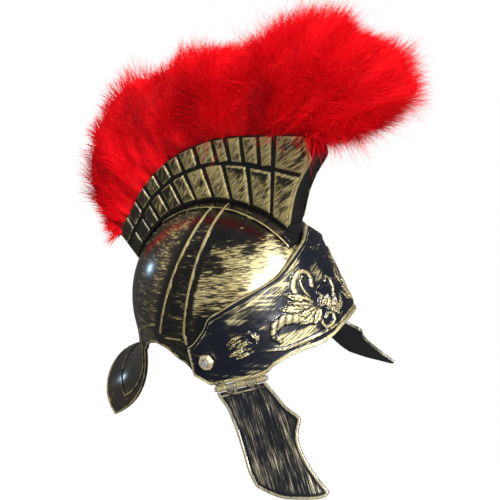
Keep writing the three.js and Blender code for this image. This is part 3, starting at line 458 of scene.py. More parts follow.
def add_brick(skin, start, end, upper, k):
    s = np.array([0, 0.0, 0.05, 0.13, 0.3, 0.5, 0.7, 0.87, 0.95, 1, 1])
    t = np.array([0, 0.0, 0.035, 0.09, 0.25, 0.5, 0.75, 0.91, 0.965, 1, 1])
    proud = np.array([-1.2, 0.35, 0.85, 1, 1, 1, 1, 1, 0.85, 0.35, -1.2])
    ss, tt = np.meshgrid(s, t)
    level = np.minimum(*np.meshgrid(proud, proud))
    for side in (-1, 1):
        wob = rng.normal(0, 1, 8)
        left = start + 0.0016 * (wob[0] + wob[1] * (2 * tt - 1))
        right = end + 0.0016 * (wob[2] + wob[3] * (2 * tt - 1))
        along = mix(left, right, ss)
        height = CREST_HEIGHT * CREST_RISE(along)
        split, half = BRICK_SPLIT(along), BRICK_GROOVE / 2 / height
        low, high = (split + half, 0.985) if upper else (BRICK_FOOT / height, split - half)
        up = mix(low + 0.006 * (wob[4] + wob[5] * (2 * ss - 1)), high - 0.006 * abs(wob[6]), tt)
        sheet = crest_point(along, up, side)
        bulge = 0.25 * noise(vec(CREST_SPAN * along / 4, up * 14, side * 5 + k))
        sheet = sheet + vec(side * (BRICK_RAISE * level + bulge * (level > 0.5)), 0, 0)
        middle = (start + end) / 2
        fade = mix(0.6, 0.24, step(0.3, 0.95, middle))
        near_edge = np.minimum(np.minimum(ss, 1 - ss), np.minimum(tt, 1 - tt) * 1.6)
        edge = step(0.16, 0.05, near_edge) * step(0.0, 0.02, near_edge)
        dark = step(0.62, 0.9, tt) * (not upper) * step(0.35, 0.1, middle) + 0.5 * step(0.1, 0.6, wob[7]) * tt
        gold = fade + mix(0.22, 0.34, step(0.3, 0.9, middle)) * edge - 0.3 * dark * (1 - edge)
        gold = np.where(level > 0, gold, 0.03)
        x, y = CREST_SPAN * along, up * 75
        cosine, sine = math.cos(BRUSH_SLANT), math.sin(BRUSH_SLANT)
        stroke = vec(x * cosine - y * sine, x * sine + y * cosine, side * 30 + k)
        skin.grid(sheet, gold, stroke, step(0.4, 1, along) * 0.3)


# Brow visor
VISOR_TOP = curve([
    (0, 1), (0.12, 0.84), (0.236, 0.73), (0.35, 0.6), (0.404, 0.536), (0.47, 0.49), (0.607, 0.406),
    (0.66, 0.375), (0.77, 0.277), (0.852, 0.183), (0.888, 0.06), (0.92, -0.02), (0.96, -0.115),
    (1, -0.175),
])
VISOR_BOTTOM = curve([
    (0, 0.56), (0.12, 0.59), (0.236, 0.66), (0.35, 0.7), (0.404, 0.69), (0.47, 0.7), (0.607, 0.82),
    (0.66, 0.935), (0.77, 0.96), (0.852, 0.98), (0.888, 1), (0.92, 1), (0.96, 0.9), (1, 0.8),
])


def visor_point(turn, z, out):
    a = np.radians(turn)
    half = HALF_WIDTH + SIDE_GAP + VISOR_WALL - SIDE_FLARE * z + out
    front = HALF_LENGTH + FRONT_GAP + VISOR_WALL - FRONT_FLARE * z + out
    return vec(-half * np.sin(a), -front * np.cos(a), z)


FACE_TURNS = np.linspace(0, 90, 400)
FACE_STEPS = np.diff(visor_point(FACE_TURNS, 0 * FACE_TURNS, 0), axis=0)
FACE_MM = np.concatenate([[0], np.cumsum(np.linalg.norm(FACE_STEPS, axis=1))])


def face_mm(turn):
    return np.interp(turn, FACE_TURNS, FACE_MM)


def along_path(u, v, points):
    """For each piece of a path: the share along it and the distance from it."""
    points = np.array(points, float)
    n = len(points) - 1
    for k in range(n):
        a, d = points[k], points[k + 1] - points[k]
        t = np.clip(((u - a[0]) * d[0] + (v - a[1]) * d[1]) / (d @ d), 0, 1)
        yield (k + t) / n, np.hypot(u - a[0] - t * d[0], v - a[1] - t * d[1])


def ridge(u, v, points, width, height, tip=0.25):
    """Height of a raised vine with a round back, thinner to its tip, and the distance outside it."""
    best, outside = np.zeros_like(u), np.full_like(u, 99.0)
    for share, off in along_path(u, v, points):
        half = width / 2 * mix(1, tip, share)
        rise = height * mix(1, 0.6, share) * np.sqrt(np.clip(1 - (off / half) ** 2, 0, 1))
        best, outside = np.maximum(best, rise), np.minimum(outside, off - half)
    return best, outside


def leaf(u, v, points, width, height=1.7):
    """Height of a leaf with a vein and soft teeth, from its root to its tip, and the distance outside it."""
    best, outside = np.zeros_like(u), np.full_like(u, 99.0)
    for share, off in along_path(u, v, points):
        tooth = 0.75 + 0.5 * ((share * 3.4) % 1)
        half = width / 2 * np.sin(np.pi * np.clip(0.2 + 0.8 * share, 0, 1)) ** 1.1 * tooth + 0.2
        rise = height * mix(1, 0.75, share) * np.clip(1.25 - 1.25 * (off / half) ** 4, 0, 1)
        vein = 0.7 * height * np.exp(-(off / 0.5) ** 2) * step(0.9, 0.7, share)
        best, outside = np.maximum(best, rise - vein), np.minimum(outside, off - half)
    return best, outside


def laid_over(h, rise, outside):
    """A raised form over what is there already, with a dark line cut round it."""
    return np.where(outside < 0, rise, h * step(0.1, 1.0, outside))


# Ornament on the wearer's right as (mm round from the middle, mm up): vines with their widths at the root
# and their tips' shares, and leaves from root to tip
VINES = (
    ((52, 9), (57, 16), (57, 22.5), (52.5, 28.5), (46, 33), (39.5, 33), (34.7, 29.6), (33.3, 23.8), (36, 17)),
    ((45, 9), (47.3, 15), (48, 20.6), (47, 26), (42, 29)),
    ((41.5, -9), (43.7, -17.8), (41.6, -22.6), (34, -23), (27.5, -20), (26.4, -14.6), (31.6, -11.4),
     (37, -15)),
    ((24, -8), (16, -2), (9, 7), (8, 15), (13, 19), (17, 15)),
)
VINE_WIDTHS = ((6.6, 0.6), (3.2, 0.6), (3.8, 0.6), (3.4, 0.6))
LEAVES = (
    (9.0, ((45, 4), (56, 11), (68, 18.5))),
    (7.0, ((46.7, 1.3), (60.5, 6), (69, 11))),
    (7.0, ((57, 1), (68, 4.5), (78, 7))),
    (6.5, ((41, -3), (56, -4), (64.6, -1))),
    (7.0, ((41, -4), (54, -10.4), (65, -11))),
    (7.5, ((40, -6), (45.6, -11.5), (53, -15.4))),
    (5.5, ((37.4, -2.3), (30.8, 3), (34, 10.5))),
    (5.0, ((35, -3.2), (28.7, 0), (26, 6))),
    (6.5, ((19, -16), (16.5, -8), (12, 2))),
    (5.5, ((18, -15), (24, -11), (28, -5))),
    (5.0, ((16, -14), (8, -10), (3, -3))),
    (4.5, ((30, -8), (24, -3), (22, 4))),
    (3.8, ((134, -13), (124, -8), (113, -5.5), (106.5, -8))),
    (4.0, ((110, -7), (106, -12), (108, -18))),
    (3.4, ((133, -17), (123, -12.5), (114, -11))),
    (4.4, ((126, -17), (118, -14.5), (110.5, -15.5))),
    (4.2, ((134, -24), (124, -20.5), (112, -20))),
    (3.8, ((129, -27), (120, -24.5), (110.5, -22.5))),
)
HORN = ((60, -5), (69, -3.5), (77, -2.5), (86, -5), (90, -10), (91, -15.5), (87, -20.5))
BEADS = ((-30, 33), (-22, 19), (-16, 9), (-10, -2), (-12, -9))


def relief(turn, z):
    """Height of the cast ornament: the vines and leaves of both sides, and a beaded stem in front."""
    u, v = face_mm(np.abs(turn)), z
    h = np.zeros_like(u)
    for points, (width, tip) in zip(VINES, VINE_WIDTHS):
        h = laid_over(h, *ridge(u, v, points, width, 2.1, tip))
    horn, outside = ridge(u, v, HORN, 12.5, 2.3, 0.4)
    bands = np.abs(np.sin((u + 0.5 * v) * 0.42)) ** 0.5
    h = laid_over(h, horn * (0.2 + 0.8 * bands), outside)
    for width, points in LEAVES:
        h = laid_over(h, *leaf(u, v, points, width))
    beads, outside = ridge(np.sign(turn) * u, v, BEADS, 3.2, 1.9, 0.8)
    return laid_over(h, beads * (0.5 + 0.5 * np.abs(np.cos(v * 0.75))), outside)


# Profile of the bead round the visor's edge: millimetres from the edge and millimetres out
BEAD = ((0.0, -1.0), (0.0, 0.1), (0.5, 0.85), (1.2, 1.1), (1.9, 0.85), (2.5, 0.25))


def visor_field(turns, z, top, bottom):
    """How far out the field inside the bead stands along one level, and its paint."""
    h = relief(turns, z)
    side, lower, upper = face_mm(np.abs(turns)), z - bottom, top - z
    rear = step(3.0, 1.2, face_mm(VISOR_TURN) - side)
    line_z = np.interp(side, [0, 30, 70, 86, 101], [-22.5, -25.5, -27.4, -28.5, -25.6])
    ahead = step(118, 84, side)
    line = 0.9 * np.exp(-((z - line_z) / 0.75) ** 2) * ahead
    out = h + 1.1 * rear + line + 0.12 * noise(vec(turns / 3, z / 5, 0))
    base = 0.16 + 0.34 * step(30, 8, upper) * step(24, 50, side) * step(142, 110, side)
    base = base + 0.36 * step(-12, -17, z) * step(44, 52, side) * step(98, 84, side)
    base = base + 0.26 * step(10, 20, side) * step(34, 26, side) * step(12, 20, z) * step(44, 30, z)
    base = base + 0.14 * step(9, 5, lower) * step(96, 106, side) * step(160, 140, side)
    streak = 0.2 * step(0.1, 0.75, noise(vec(side / 30, (z - 0.22 * side) / 2.1, 7)))
    base = base + streak * step(3, 9, upper)
    mottle = 0.3 + 0.22 * noise(vec(side / 5, z / 2.5, 5))
    base = mix(base, mottle, ahead * (z < line_z - 1))
    shadow = relief(np.where(turns < 0, turns + 1.0, turns - 1.0), z + 1.0) > 0.3
    flat = h <= 0.75
    paint = np.where(flat, base - 0.4 * shadow - 0.15 * (h > 0.05), 0.6 + 0.3 * step(1.1, 1.9, h))
    paint = np.where(flat & (upper < 4.0), 0.04, paint)
    paint = np.where(flat & (np.abs(upper - 4.7) < 0.5), 0.5, paint)
    paint = np.maximum(paint, 0.85 * rear)
    paint = mix(paint, 0.04, ahead * (flat & (np.abs(z - line_z - 2) < 0.9)))
    return out, np.maximum(paint, 0.8 * (line > 0.4))


def make_visor():
    skin = Skin()
    half = np.concatenate([np.linspace(0, 76, 220), np.linspace(76.6, 87.4, 24), [88.0, 88.5, 88.85, 89.0]])
    turns = np.concatenate([-half[:0:-1], half])
    share = np.abs(turns) / VISOR_TURN
    top, bottom = VISOR_PEAK * VISOR_TOP(share), -VISOR_DROP * VISOR_BOTTOM(share)
    levels = [(bottom + mm, out + 0 * turns, 0.9 + 0 * turns) for mm, out in BEAD]
    for level in np.linspace(0, 1, 86)[1:-1]:
        z = mix(bottom + 2.7, top - 2.7 * TOP_BEAD, level)
        levels.append((z, *visor_field(turns, z, top, bottom)))
    for mm, out in BEAD[::-1]:
        paint = 0.86 if mm < 2.2 else 0.1
        levels.append((top - mm * TOP_BEAD, out * 0.8 + 0 * turns, paint + 0 * turns))
    sheet = np.array([visor_point(turns, z, out) for z, out, _ in levels])
    gold = np.array([paint for _, _, paint in levels])
    z = sheet[..., 2]
    mm = np.sign(turns) * face_mm(np.abs(turns))
    climb = np.interp(np.abs(turns), [0, 20, 45, 70, 89], [60, 48, 30, 14, 4])
    stroke = vec(np.broadcast_to(mm, z.shape), z - climb, np.where(turns < 0, 9, 4))
    skin.grid(sheet, gold, stroke)
    inside = np.array([visor_point(turns, mix(bottom, top, s), -VISOR_WALL) for s in np.linspace(0, 1, 8)])
    skin.grid(inside, 0.02)
    for row in (0, -1):
        skin.grid(np.stack([sheet[row], inside[row]]), 0.5)
    ladder = np.linspace(0, sheet.shape[0] - 1, 8).astype(int)
    for j in (0, -1):
        skin.grid(np.stack([sheet[ladder, j], inside[:, j]]), 0.5)
    hinge_skin = Skin()
    upright = np.array([0, 0, 1.0])
    add_knuckles(hinge_skin, 0, upright, unit(np.cross(ALONG, upright)), 7.7)
    hinge_skin.both_sides()
    skin.join(hinge_skin)
    return skin


# Hinges and cheek guards, on the wearer's right
ALONG = np.array([0.33801852, -0.93855436, 0.06970794])


def guard_axes():
    side = np.array([-1.0, 0, 0])
    out = unit(side - ALONG * (side @ ALONG))
    hang = np.cross(ALONG, out)
    hang = hang if hang[2] < 0 else -hang
    down = hang * math.cos(GUARD_SWING) + out * math.sin(GUARD_SWING)
    face = np.cross(ALONG, down)
    return down, face if face[0] < 0 else -face


DOWN, FACE = guard_axes()


def hinge_at(u, v=0.0, w=0.0):
    u, v, w = (np.asarray(x, float)[..., None] for x in (u, v, w))
    return HINGE + ALONG * u + DOWN * v + FACE * w


def add_knuckles(skin, first, direction, normal, reach):
    pitch = HINGE_LENGTH / KNUCKLES
    for i in range(first, KNUCKLES, 2):
        a, b = i * pitch + RUN_GAP / 2, (i + 1) * pitch - RUN_GAP / 2
        add_rod(skin, hinge_at(a), hinge_at(b), KNUCKLE_RADIUS, 28, 0.5, 0.82)
        thick = KNUCKLE_RADIUS - PIN_RADIUS
        corners = []
        places = (a, mix(a, b, 0.33), mix(a, b, 0.67), b)
        for v in (0.0, reach):
            for w in (-thick, thick):
                corners.append([hinge_at(u) + direction * v + normal * w for u in places])
        lower_in, lower_out, upper_in, upper_out = corners
        skin.grid(np.array([lower_in, lower_out, upper_out, upper_in, lower_in]), 0.55)
        for j in (0, -1):
            ends = np.array([[lower_in[j], lower_out[j]], [upper_in[j], upper_out[j]]])
            skin.grid(ends, 0.3)


# Outline of a guard's plate: shares down it and across it for both sides, across it and down it for its foot
GUARD_LEFT = curve([
    (0, 0.0), (0.08, 0.035), (0.15, 0.075), (0.42, 0.145), (0.68, 0.185), (0.87, 0.213), (1, 0.262),
])
GUARD_RIGHT = curve([
    (0, 0.575), (0.12, 0.66), (0.26, 0.757), (0.335, 0.842), (0.375, 0.874), (0.41, 0.858),
    (0.46, 0.828), (0.55, 0.802), (0.66, 0.82), (0.82, 0.885), (1, 1),
])
GUARD_BOTTOM = curve([
    (0, 0.825), (0.08, 0.86), (0.34, 0.944), (0.6, 0.98), (0.85, 1.0), (0.96, 0.99), (1, 0.965),
])


def guard_outline_point(s, t):
    """A place on the plate from shares across it and down it, as millimetres along and down the hinge."""
    left_v, right_v = mix(0.035, 0.825, t), mix(0.035, 0.965, t)
    bottom_v = GUARD_BOTTOM(s)
    v = mix(left_v, right_v, s) + t ** 3 * (bottom_v - mix(0.825, 0.965, s))
    u = mix(GUARD_LEFT(t), GUARD_RIGHT(t), s)
    return u * GUARD_WIDTH, v * GUARD_LENGTH


def make_guard():
    skin = Skin()
    s_rows, t_rows = (0.5 - 0.5 * np.cos(np.pi * np.linspace(0, 1, n)) for n in (60, 96))
    s, t = np.meshgrid(s_rows, t_rows)
    u, v = guard_outline_point(s, t)
    way, full = np.linspace(0, 1, 200), np.ones(200)
    edges = ((0 * full, way), (way, full), (full, way))
    border = np.concatenate([np.stack(guard_outline_point(*edge), -1) for edge in edges])
    flat = np.stack([u, v], -1).reshape(-1, 2)
    gap = np.sqrt(((flat[:, None] - border[None]) ** 2).sum(-1)).min(1).reshape(u.shape)
    across = 2 * u / GUARD_WIDTH - 1
    bow = GUARD_BOW * (1 - across ** 2) * v / GUARD_LENGTH
    rim = 0.9 * np.sqrt(np.clip(1 - ((gap - 1.3) / 1.5) ** 2, 0, 1))
    face = GUARD_WALL / 2 + bow + rim - 0.5 * step(0.6, 0, gap) + 0.12 * noise(vec(u / 6, v / 10, 3))
    outer = hinge_at(u, v, face)
    inner = hinge_at(u, v, bow - GUARD_WALL / 2)
    rim_gold = mix(0.62, 0.4, step(0.1, 0.6, s))
    gold = 0.41 + rim_gold * step(2.5, 1.9, gap) - 0.25 * np.exp(-((gap - 3.4) / 0.9) ** 2)
    gold = gold + 0.1 * step(0.6, 0.95, s) * step(0.3, 0.7, t)
    stroke = vec(v, u - 0.12 * v, 60)
    skin.grid(outer, gold, stroke)
    skin.grid(inner, 0.02, stroke)
    for edge in ((0,), (-1,), (slice(None), 0), (slice(None), -1)):
        skin.grid(np.stack([outer[edge], inner[edge]]), 0.55)
    add_knuckles(skin, 1, DOWN, FACE, 6.7)
    # Raised fold across the plate below the hinge
    us = np.linspace(1.5, 46.5, 30)
    path = hinge_at(us, 7.6, GUARD_WALL / 2 + 0.1)
    add_bar(skin, path, np.broadcast_to(FACE, path.shape), 2.2, 0.9, 0.6)
    return skin


# Shader nodes
def nodes_of(name):
    """A new material, with functions that make a node, feed a socket and set up the shader."""
    material = bpy.data.materials.new(name)
    material.use_nodes = True
    tree = material.node_tree
    shader = next(n for n in tree.nodes if n.type == "BSDF_PRINCIPLED")

    def feed(socket, value):
        if isinstance(value, (int, float)):
            socket.default_value = value
        elif isinstance(value, tuple):
            socket.default_value = (*value, 1)[:len(socket.default_value)]
        else:
            tree.links.new(value, socket)

    def node(kind, **settings):
        made = tree.nodes.new(kind)
        for key, value in settings.items():
            if key in made.inputs:
                feed(made.inputs[key], value)
            else:
                setattr(made, key, value)
        return made

    def dress(settings):
        for key, value in settings.items():
            feed(shader.inputs[key], value)

    return material, node, feed, dress


def ramp(node, factor, stops):
    """Colours between stops, each given as its place and colour."""
    made = node("ShaderNodeValToRGB", Fac=factor)
    elements = made.color_ramp.elements
    elements.remove(elements[1])
    for k, (position, colour) in enumerate(stops):
        element = elements.new(position) if k else elements[0]
        element.position, element.color = position, (*colour, 1)
    return made.outputs["Color"]


def object_noise(node, scale, detail, rough):
    place_ = node("ShaderNodeTexCoord").outputs["Object"]
    made = node("ShaderNodeTexNoise", Vector=place_, Scale=scale, Detail=detail, Roughness=rough)
    return made.outputs["Fac"]


def antique(name, dark, darker, gold_light, gold_dark, stretch, coarse, gloss, edge, coat):
    """Glossy moulded plastic with a dry-brushed gold over it: gold where the mesh's paint says so, in
    streaks along the mesh's strokes."""
    material, node, feed, dress = nodes_of(name)

    def scalar(operation, a, b, clamp=False):
        made = node("ShaderNodeMath", operation=operation, use_clamp=clamp)
        feed(made.inputs[0], a)
        feed(made.inputs[1], b)
        return made.outputs[0]

    def blend(factor, a, b):
        made = node("ShaderNodeMix", data_type="RGBA")
        for k, value in ((0, factor), (6, a), (7, b)):
            feed(made.inputs[k], value)
        return made.outputs[2]

    stroke = node("ShaderNodeAttribute", attribute_name="stroke").outputs["Vector"]
    paint = node("ShaderNodeAttribute", attribute_name="gold").outputs["Fac"]
    tone = node("ShaderNodeAttribute", attribute_name="tone").outputs["Fac"]

    def streaks(scale, along, detail, rough, shift=0.0):
        mapping = node("ShaderNodeMapping", Vector=stroke, Scale=(scale / along, scale, scale),
                       Location=(shift, shift * 0.7, 0))
        made = node("ShaderNodeTexNoise", Vector=mapping.outputs[0], Scale=1.0, Detail=detail,
                    Roughness=rough)
        return made.outputs["Fac"]

    fine = streaks(1500 / coarse, stretch, 3.0, 0.6)
    broad = streaks(420 / coarse, stretch * 0.7, 4.0, 0.65, 3.1)
    patch = streaks(70, 1.6, 3.0, 0.6, 7.7)
    mixed = scalar("ADD", scalar("MULTIPLY", fine, 0.42), scalar("MULTIPLY", broad, 0.36))
    mixed = scalar("ADD", mixed, scalar("MULTIPLY", patch, 0.22))
    level = scalar("SUBTRACT", 1.02, scalar("MULTIPLY", paint, 1.06))
    shifted = scalar("SUBTRACT", mixed, scalar("ADD", scalar("MULTIPLY", level, 0.42), 0.29))
    mask = scalar("MULTIPLY", shifted, edge, clamp=True)
    soft = scalar("MULTIPLY", scalar("ADD", shifted, 0.06), 5.0, clamp=True)

    ground = blend(scalar("MULTIPLY", tone, 0.7), blend(patch, darker, dark), BROWN)
    gilt = blend(scalar("MULTIPLY", scalar("SUBTRACT", fine, 0.38), 3.2, clamp=True), gold_dark, gold_light)
    gilt = blend(scalar("MULTIPLY", tone, 0.3), gilt, BROWN)
    under = blend(scalar("MULTIPLY", soft, 0.35), ground, gold_dark)
    roughness = scalar("ADD", scalar("MULTIPLY", mask, 0.17), scalar("MULTIPLY", fine, 0.12))
    height = scalar("ADD", scalar("MULTIPLY", mask, 0.6), scalar("MULTIPLY", broad, 0.5))
    dress({
        "Base Color": blend(mask, under, gilt),
        "Metallic": scalar("MULTIPLY", mask, 0.6),
        "Roughness": scalar("ADD", roughness, gloss),
        "Specular IOR Level": 0.5,
        "Coat Weight": coat,
        "Coat IOR": 1.75,
        "Coat Roughness": 0.2,
        "Normal": node("ShaderNodeBump", Strength=0.35, Distance=0.0004, Height=height).outputs[0],
    })
    return material


def metal(name, colour, dull):
    """Bright metal with a fine grain."""
    material, node, _, dress = nodes_of(name)
    grain = object_noise(node, 900.0, 4.0, 0.6)
    rough = node("ShaderNodeMapRange", Value=grain, **{"To Min": 0.14, "To Max": 0.3})
    dress({
        "Base Color": ramp(node, grain, ((0.35, dull), (0.62, colour))),
        "Roughness": rough.outputs[0],
        "Metallic": 0.7,
    })
    return material


def feather(name, fine):
    """Red down with painted shade: deep red in the shaded hollows and bright scarlet at the lit tips."""
    material, node, _, dress = nodes_of(name)
    shade = node("ShaderNodeAttribute", attribute_name="shade").outputs["Fac"]
    reds = ((0.0, (0.2, 0.0, 0.002)), (0.45, (0.68, 0.0, 0.004)), (1.0, (0.86, 0.006, 0.014)))
    dress({
        "Base Color": ramp(node, shade, reds),
        "Roughness": 0.75,
        "Specular IOR Level": 0.15,
        "Sheen Weight": 0.08,
        "Sheen Roughness": 0.4,
        "Sheen Tint": (1.0, 0.25, 0.25),
    })
    if not fine:
        fibres = object_noise(node, 420.0, 5.0, 0.7)
        dress({"Normal": node("ShaderNodeBump", Strength=0.9, Distance=0.002, Height=fibres).outputs[0]})
    return material


# Plume: its outline as seen from the side, from the back end over the top to the front end, and where
# along the crest holder the feathers under each place are rooted
PLUME = np.array([
    (116, 90, 1.0), (129, 116, 0.99), (132, 158, 0.95), (130, 196, 0.88), (113, 224, 0.80),
    (87, 243, 0.71), (57, 257, 0.62), (30, 257, 0.55), (3, 261, 0.48), (-40, 262, 0.38),
    (-82, 253, 0.28), (-102, 249, 0.23), (-114, 255, 0.20), (-140, 260, 0.16), (-168, 257, 0.12),
    (-199, 234, 0.09), (-220, 211, 0.07), (-231, 190, 0.055), (-234, 171, 0.04),
    (-219, 158, 0.03), (-199, 145, 0.02), (-172, 145, 0.01), (-145, 149, 0.0),
])
PLUME_RUN = np.concatenate([[0], np.cumsum(np.hypot(*np.diff(PLUME[:, :2], axis=0).T))])
PLUME_RUN /= PLUME_RUN[-1]
TIP_Y, TIP_Z, ROOT = (curve(np.stack([PLUME_RUN, column], -1)) for column in PLUME.T)
PLUME_HALF_WIDTH = 40.0
# How far forward and up a barb may reach, and how thick the layer of barbs is
FRONT_END, TOP_END, FUZZ = -240.0, 283.0, 13.0
# Painted shade: soft dark hollows between the tufts, where they are along the outline and up from the root,
# and how wide
HOLLOWS = ((0.15, 0.5, 0.06), (0.33, 0.5, 0.03), (0.45, 0.42, 0.045), (0.62, 0.3, 0.04))
# Widths of a barb from its root to its tip
BARB_TAPER = np.array([1, 1, 0.85, 0.6, 0.12])
# Sets of barbs: name, number, length, spread, lift from the body, width, brightness of their painted shade
# and where along the outline they grow
BARB_SETS = (
    ("plume_barbs_a", 22500, 19.0, 0.5, 0.14, 0.52, 0.30, (0, 1)),
    ("plume_barbs_b", 22500, 21.0, 0.5, 0.18, 0.40, 0.36, (0, 1)),
    ("plume_barbs_c", 22500, 24.0, 0.7, 0.28, 0.32, 0.40, (0.42, 1)),
    ("plume_wisps", 2400, 38.0, 1.1, 0.3, 0.24, 0.42, (0.5, 0.99)),
)


def feather_root(s):
    return crest_point(ROOT(s), 1.0, 0 * s)


def plume_point(s, h, x):
    """s runs along the outline from the back, h from root to tip, x is millimetres to the side."""
    tip = vec(0, TIP_Y(s), TIP_Z(s))
    return mix(feather_root(s), tip, h[..., None]) + vec(x, 0, 0)


def bend(t, a, b, c, d):
    """A smooth way from a to d that is drawn towards b and c."""
    return (1 - t) ** 3 * a + 3 * t * (1 - t) ** 2 * b + 3 * t * t * (1 - t) * c + t ** 3 * d


def plume_surface(s, side, inset):
    """side runs from -1, the root on the wearer's right, over the tip at 0, to 1."""
    a = 1 - np.abs(side)
    root = feather_root(s)
    reach = np.hypot(TIP_Y(s) - root[..., 1], TIP_Z(s) - root[..., 2])
    full = (reach - inset) / reach
    wide = PLUME_HALF_WIDTH * mix(0.78, 1.0, step(0, 0.25, s) * step(1, 0.8, s)) - inset * 0.35
    x = bend(a, 18.0, wide * 1.25, wide * 1.2, 0.0)
    h = bend(a, -0.02, 0.16, full * 1.02, full)
    return plume_point(s, h, np.sign(side) * x), h


def plume_frame(s, side, inset):
    """Place, outward direction and root-to-tip direction on the plume's body, with its tufts."""
    p, h = plume_surface(s, side, inset)

    def near(s_shift, side_shift):
        moved = np.clip(s + s_shift, 0, 1), np.clip(side + side_shift, -1, 1)
        return plume_surface(*moved, inset)[0]

    along = near(2e-3, 0) - near(-2e-3, 0)
    around = near(0, 4e-3) - near(0, -4e-3)
    normal = unit(np.cross(along, around))
    middle = plume_point(s, np.full_like(s, 0.4), 0 * s)
    normal = normal * np.sign(((p - middle) * normal).sum(-1, keepdims=True))
    ray = unit(vec(0, TIP_Y(s), TIP_Z(s)) - feather_root(s))
    tuft = noise(vec(s * 24, h * 1.6, side * 2.4 + 9)) + 0.5 * noise(vec(s * 60, h * 4, side * 5))
    return p + normal * (4.2 * tuft)[..., None], normal, ray, h, tuft


def hollows(s, h):
    return sum(np.exp(-((s - at) / wide) ** 2 - ((h - up) / 0.3) ** 2) for at, up, wide in HOLLOWS)


def make_plume_body():
    s, side = np.meshgrid(np.linspace(0, 1, 420), np.linspace(-1, 1, 150))
    p, _, _, h, tuft = plume_frame(s, side, FUZZ)
    # Painted shade: lighter on the tufts and towards the tips, darker in the hollows between them
    shade = 0.24 + 0.14 * tuft + 0.14 * h - 0.2 * hollows(s, h)
    quads = grid_quads(*s.shape).reshape(-1, 4)
    made = make_mesh("plume_body", p.reshape(-1, 3), quads, {"shade": shade.ravel()})
    made.data.materials.append(feather("feather_down", False))
    return made


def barbs(name, n, length, spread, lift, width, shade_shift, bounds):
    """Fine barbs: thin ribbons that grow from the plume's body and curl."""
    s = rng.uniform(*bounds, n)
    side = np.sign(rng.uniform(-1, 1, n)) * rng.uniform(0, 1, n) ** 0.85
    p, normal, ray, h, tuft = plume_frame(s, side, FUZZ + 1.5)
    clump = vec(*[noise(vec(s * 40 + 5 * k, side * 6 + k, k * 3.3)) for k in range(3)])
    jitter = rng.normal(0, 1, (n, 3))
    heading = unit(ray * (1 - lift) + normal * lift + clump * 0.45 * spread + jitter * 0.3 * spread)
    curl = unit(jitter[:, ::-1] * 0.6 + clump + np.array([0, -0.25, -0.2]))
    size = length * (0.65 + 0.5 * rng.random(n)) * (0.85 + 0.35 * tuft)
    steps = len(BARB_TAPER) - 1
    t = np.linspace(0, 1, steps + 1)
    spine = p[:, None] + heading[:, None] * (size[:, None] * t)[..., None]
    spine = spine + curl[:, None] * (size[:, None] * 0.28 * t ** 2)[..., None]
    tip = spine[:, -1]
    past = np.maximum((FRONT_END - tip[:, 1]) / size, (tip[:, 2] - TOP_END) / size)
    spine = mix(spine, p[:, None], np.clip(past, 0, 0.95)[:, None, None])
    flat = unit(np.cross(heading, normal) + 0.18 * rng.normal(0, 1, (n, 3)))
    half = flat[:, None] * (width * BARB_TAPER / 2)[None, :, None]
    points = np.stack([spine - half, spine + half], 2).reshape(-1, 3)
    base = (np.arange(n) * 2 * (steps + 1))[:, None]
    k = (2 * np.arange(steps))[None]
    quads = np.stack([base + k, base + k + 1, base + k + 3, base + k + 2], -1).reshape(-1, 4)
    # Painted shade: each barb darker at its root and in the hollows, lighter on the tufts, towards the
    # plume's tips and along itself to its tip
    shade = shade_shift + 0.12 * tuft + 0.05 * rng.normal(0, 1, n) + 0.12 * h - 0.26 * hollows(s, h)
    shade = shade[:, None] + 0.22 * t[None] ** 1.5 - 0.04
    shade = np.repeat(np.clip(shade, 0, 1)[..., None], 2, axis=-1)
    return make_mesh(name, points, quads, {"shade": shade.reshape(-1)})


# Put the pieces in place
GOLD_DARK = (0.24, 0.19, 0.075)
BROWN = (0.05, 0.04, 0.03)
bowl_look = antique(
    "bowl_antique", (0.005, 0.0045, 0.0045), (0.001, 0.001, 0.0012), (0.62, 0.52, 0.24), GOLD_DARK,
    stretch=13.0, coarse=1.0, gloss=0.15, edge=14.0, coat=0.8)
crest_look = antique(
    "crest_antique", (0.007, 0.008, 0.007), (0.002, 0.002, 0.002), (0.6, 0.5, 0.23), GOLD_DARK,
    stretch=10.0, coarse=1.5, gloss=0.3, edge=14.0, coat=0.15)
visor_look = antique(
    "visor_antique", (0.005, 0.007, 0.013), (0.002, 0.0025, 0.005), (0.68, 0.6, 0.34), GOLD_DARK,
    stretch=26.0, coarse=0.9, gloss=0.22, edge=14.0, coat=0.3)
guard_look = antique(
    "guard_antique", (0.006, 0.007, 0.011), (0.002, 0.0025, 0.004), (0.6, 0.54, 0.35), (0.15, 0.13, 0.08),
    stretch=30.0, coarse=1.0, gloss=0.15, edge=7.0, coat=0.5)

place("bowl_shell", make_bowl(), "shell", bowl_look, ["bowl"])
place("crest_box", make_crest(), "shell", crest_look, ["crest_holder"])
place("visor_shell", make_visor(), "visor", visor_look, ["brow_visor"])
place("guard_right_shell", make_guard(), "guard_right", guard_look, ["cheek_guard_right"])
left_guard = make_guard()
left_guard.points = [p * [-1, 1, 1] for p in left_guard.points]
left_guard.quads = [q[:, ::-1] for q in left_guard.quads]
place("guard_left_shell", left_guard, "guard_left", guard_look, ["cheek_guard_left"])

steel_look = metal("bright_steel", (0.72, 0.74, 0.78), (0.5, 0.51, 0.53))
brass_look = metal("bright_brass", (0.95, 0.83, 0.56), (0.72, 0.56, 0.3))
for node_name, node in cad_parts.items():
    if "pin" in node_name or "bolt" in node_name:
        node.data.materials.clear()
        node.data.materials.append(steel_look)


NUT_RADIUS, WASHER = 7.6, 1.2
# The nut's profile from its foot: millimetres out, and the largest radius there
NUT_PROFILE = ((0, 3.5), (0, 6.4), (0.5, 7.4), (4.1, 7.4), (5, 6.3), (5.0, 4.3), (4.6, 3.6), (0, 3.5))


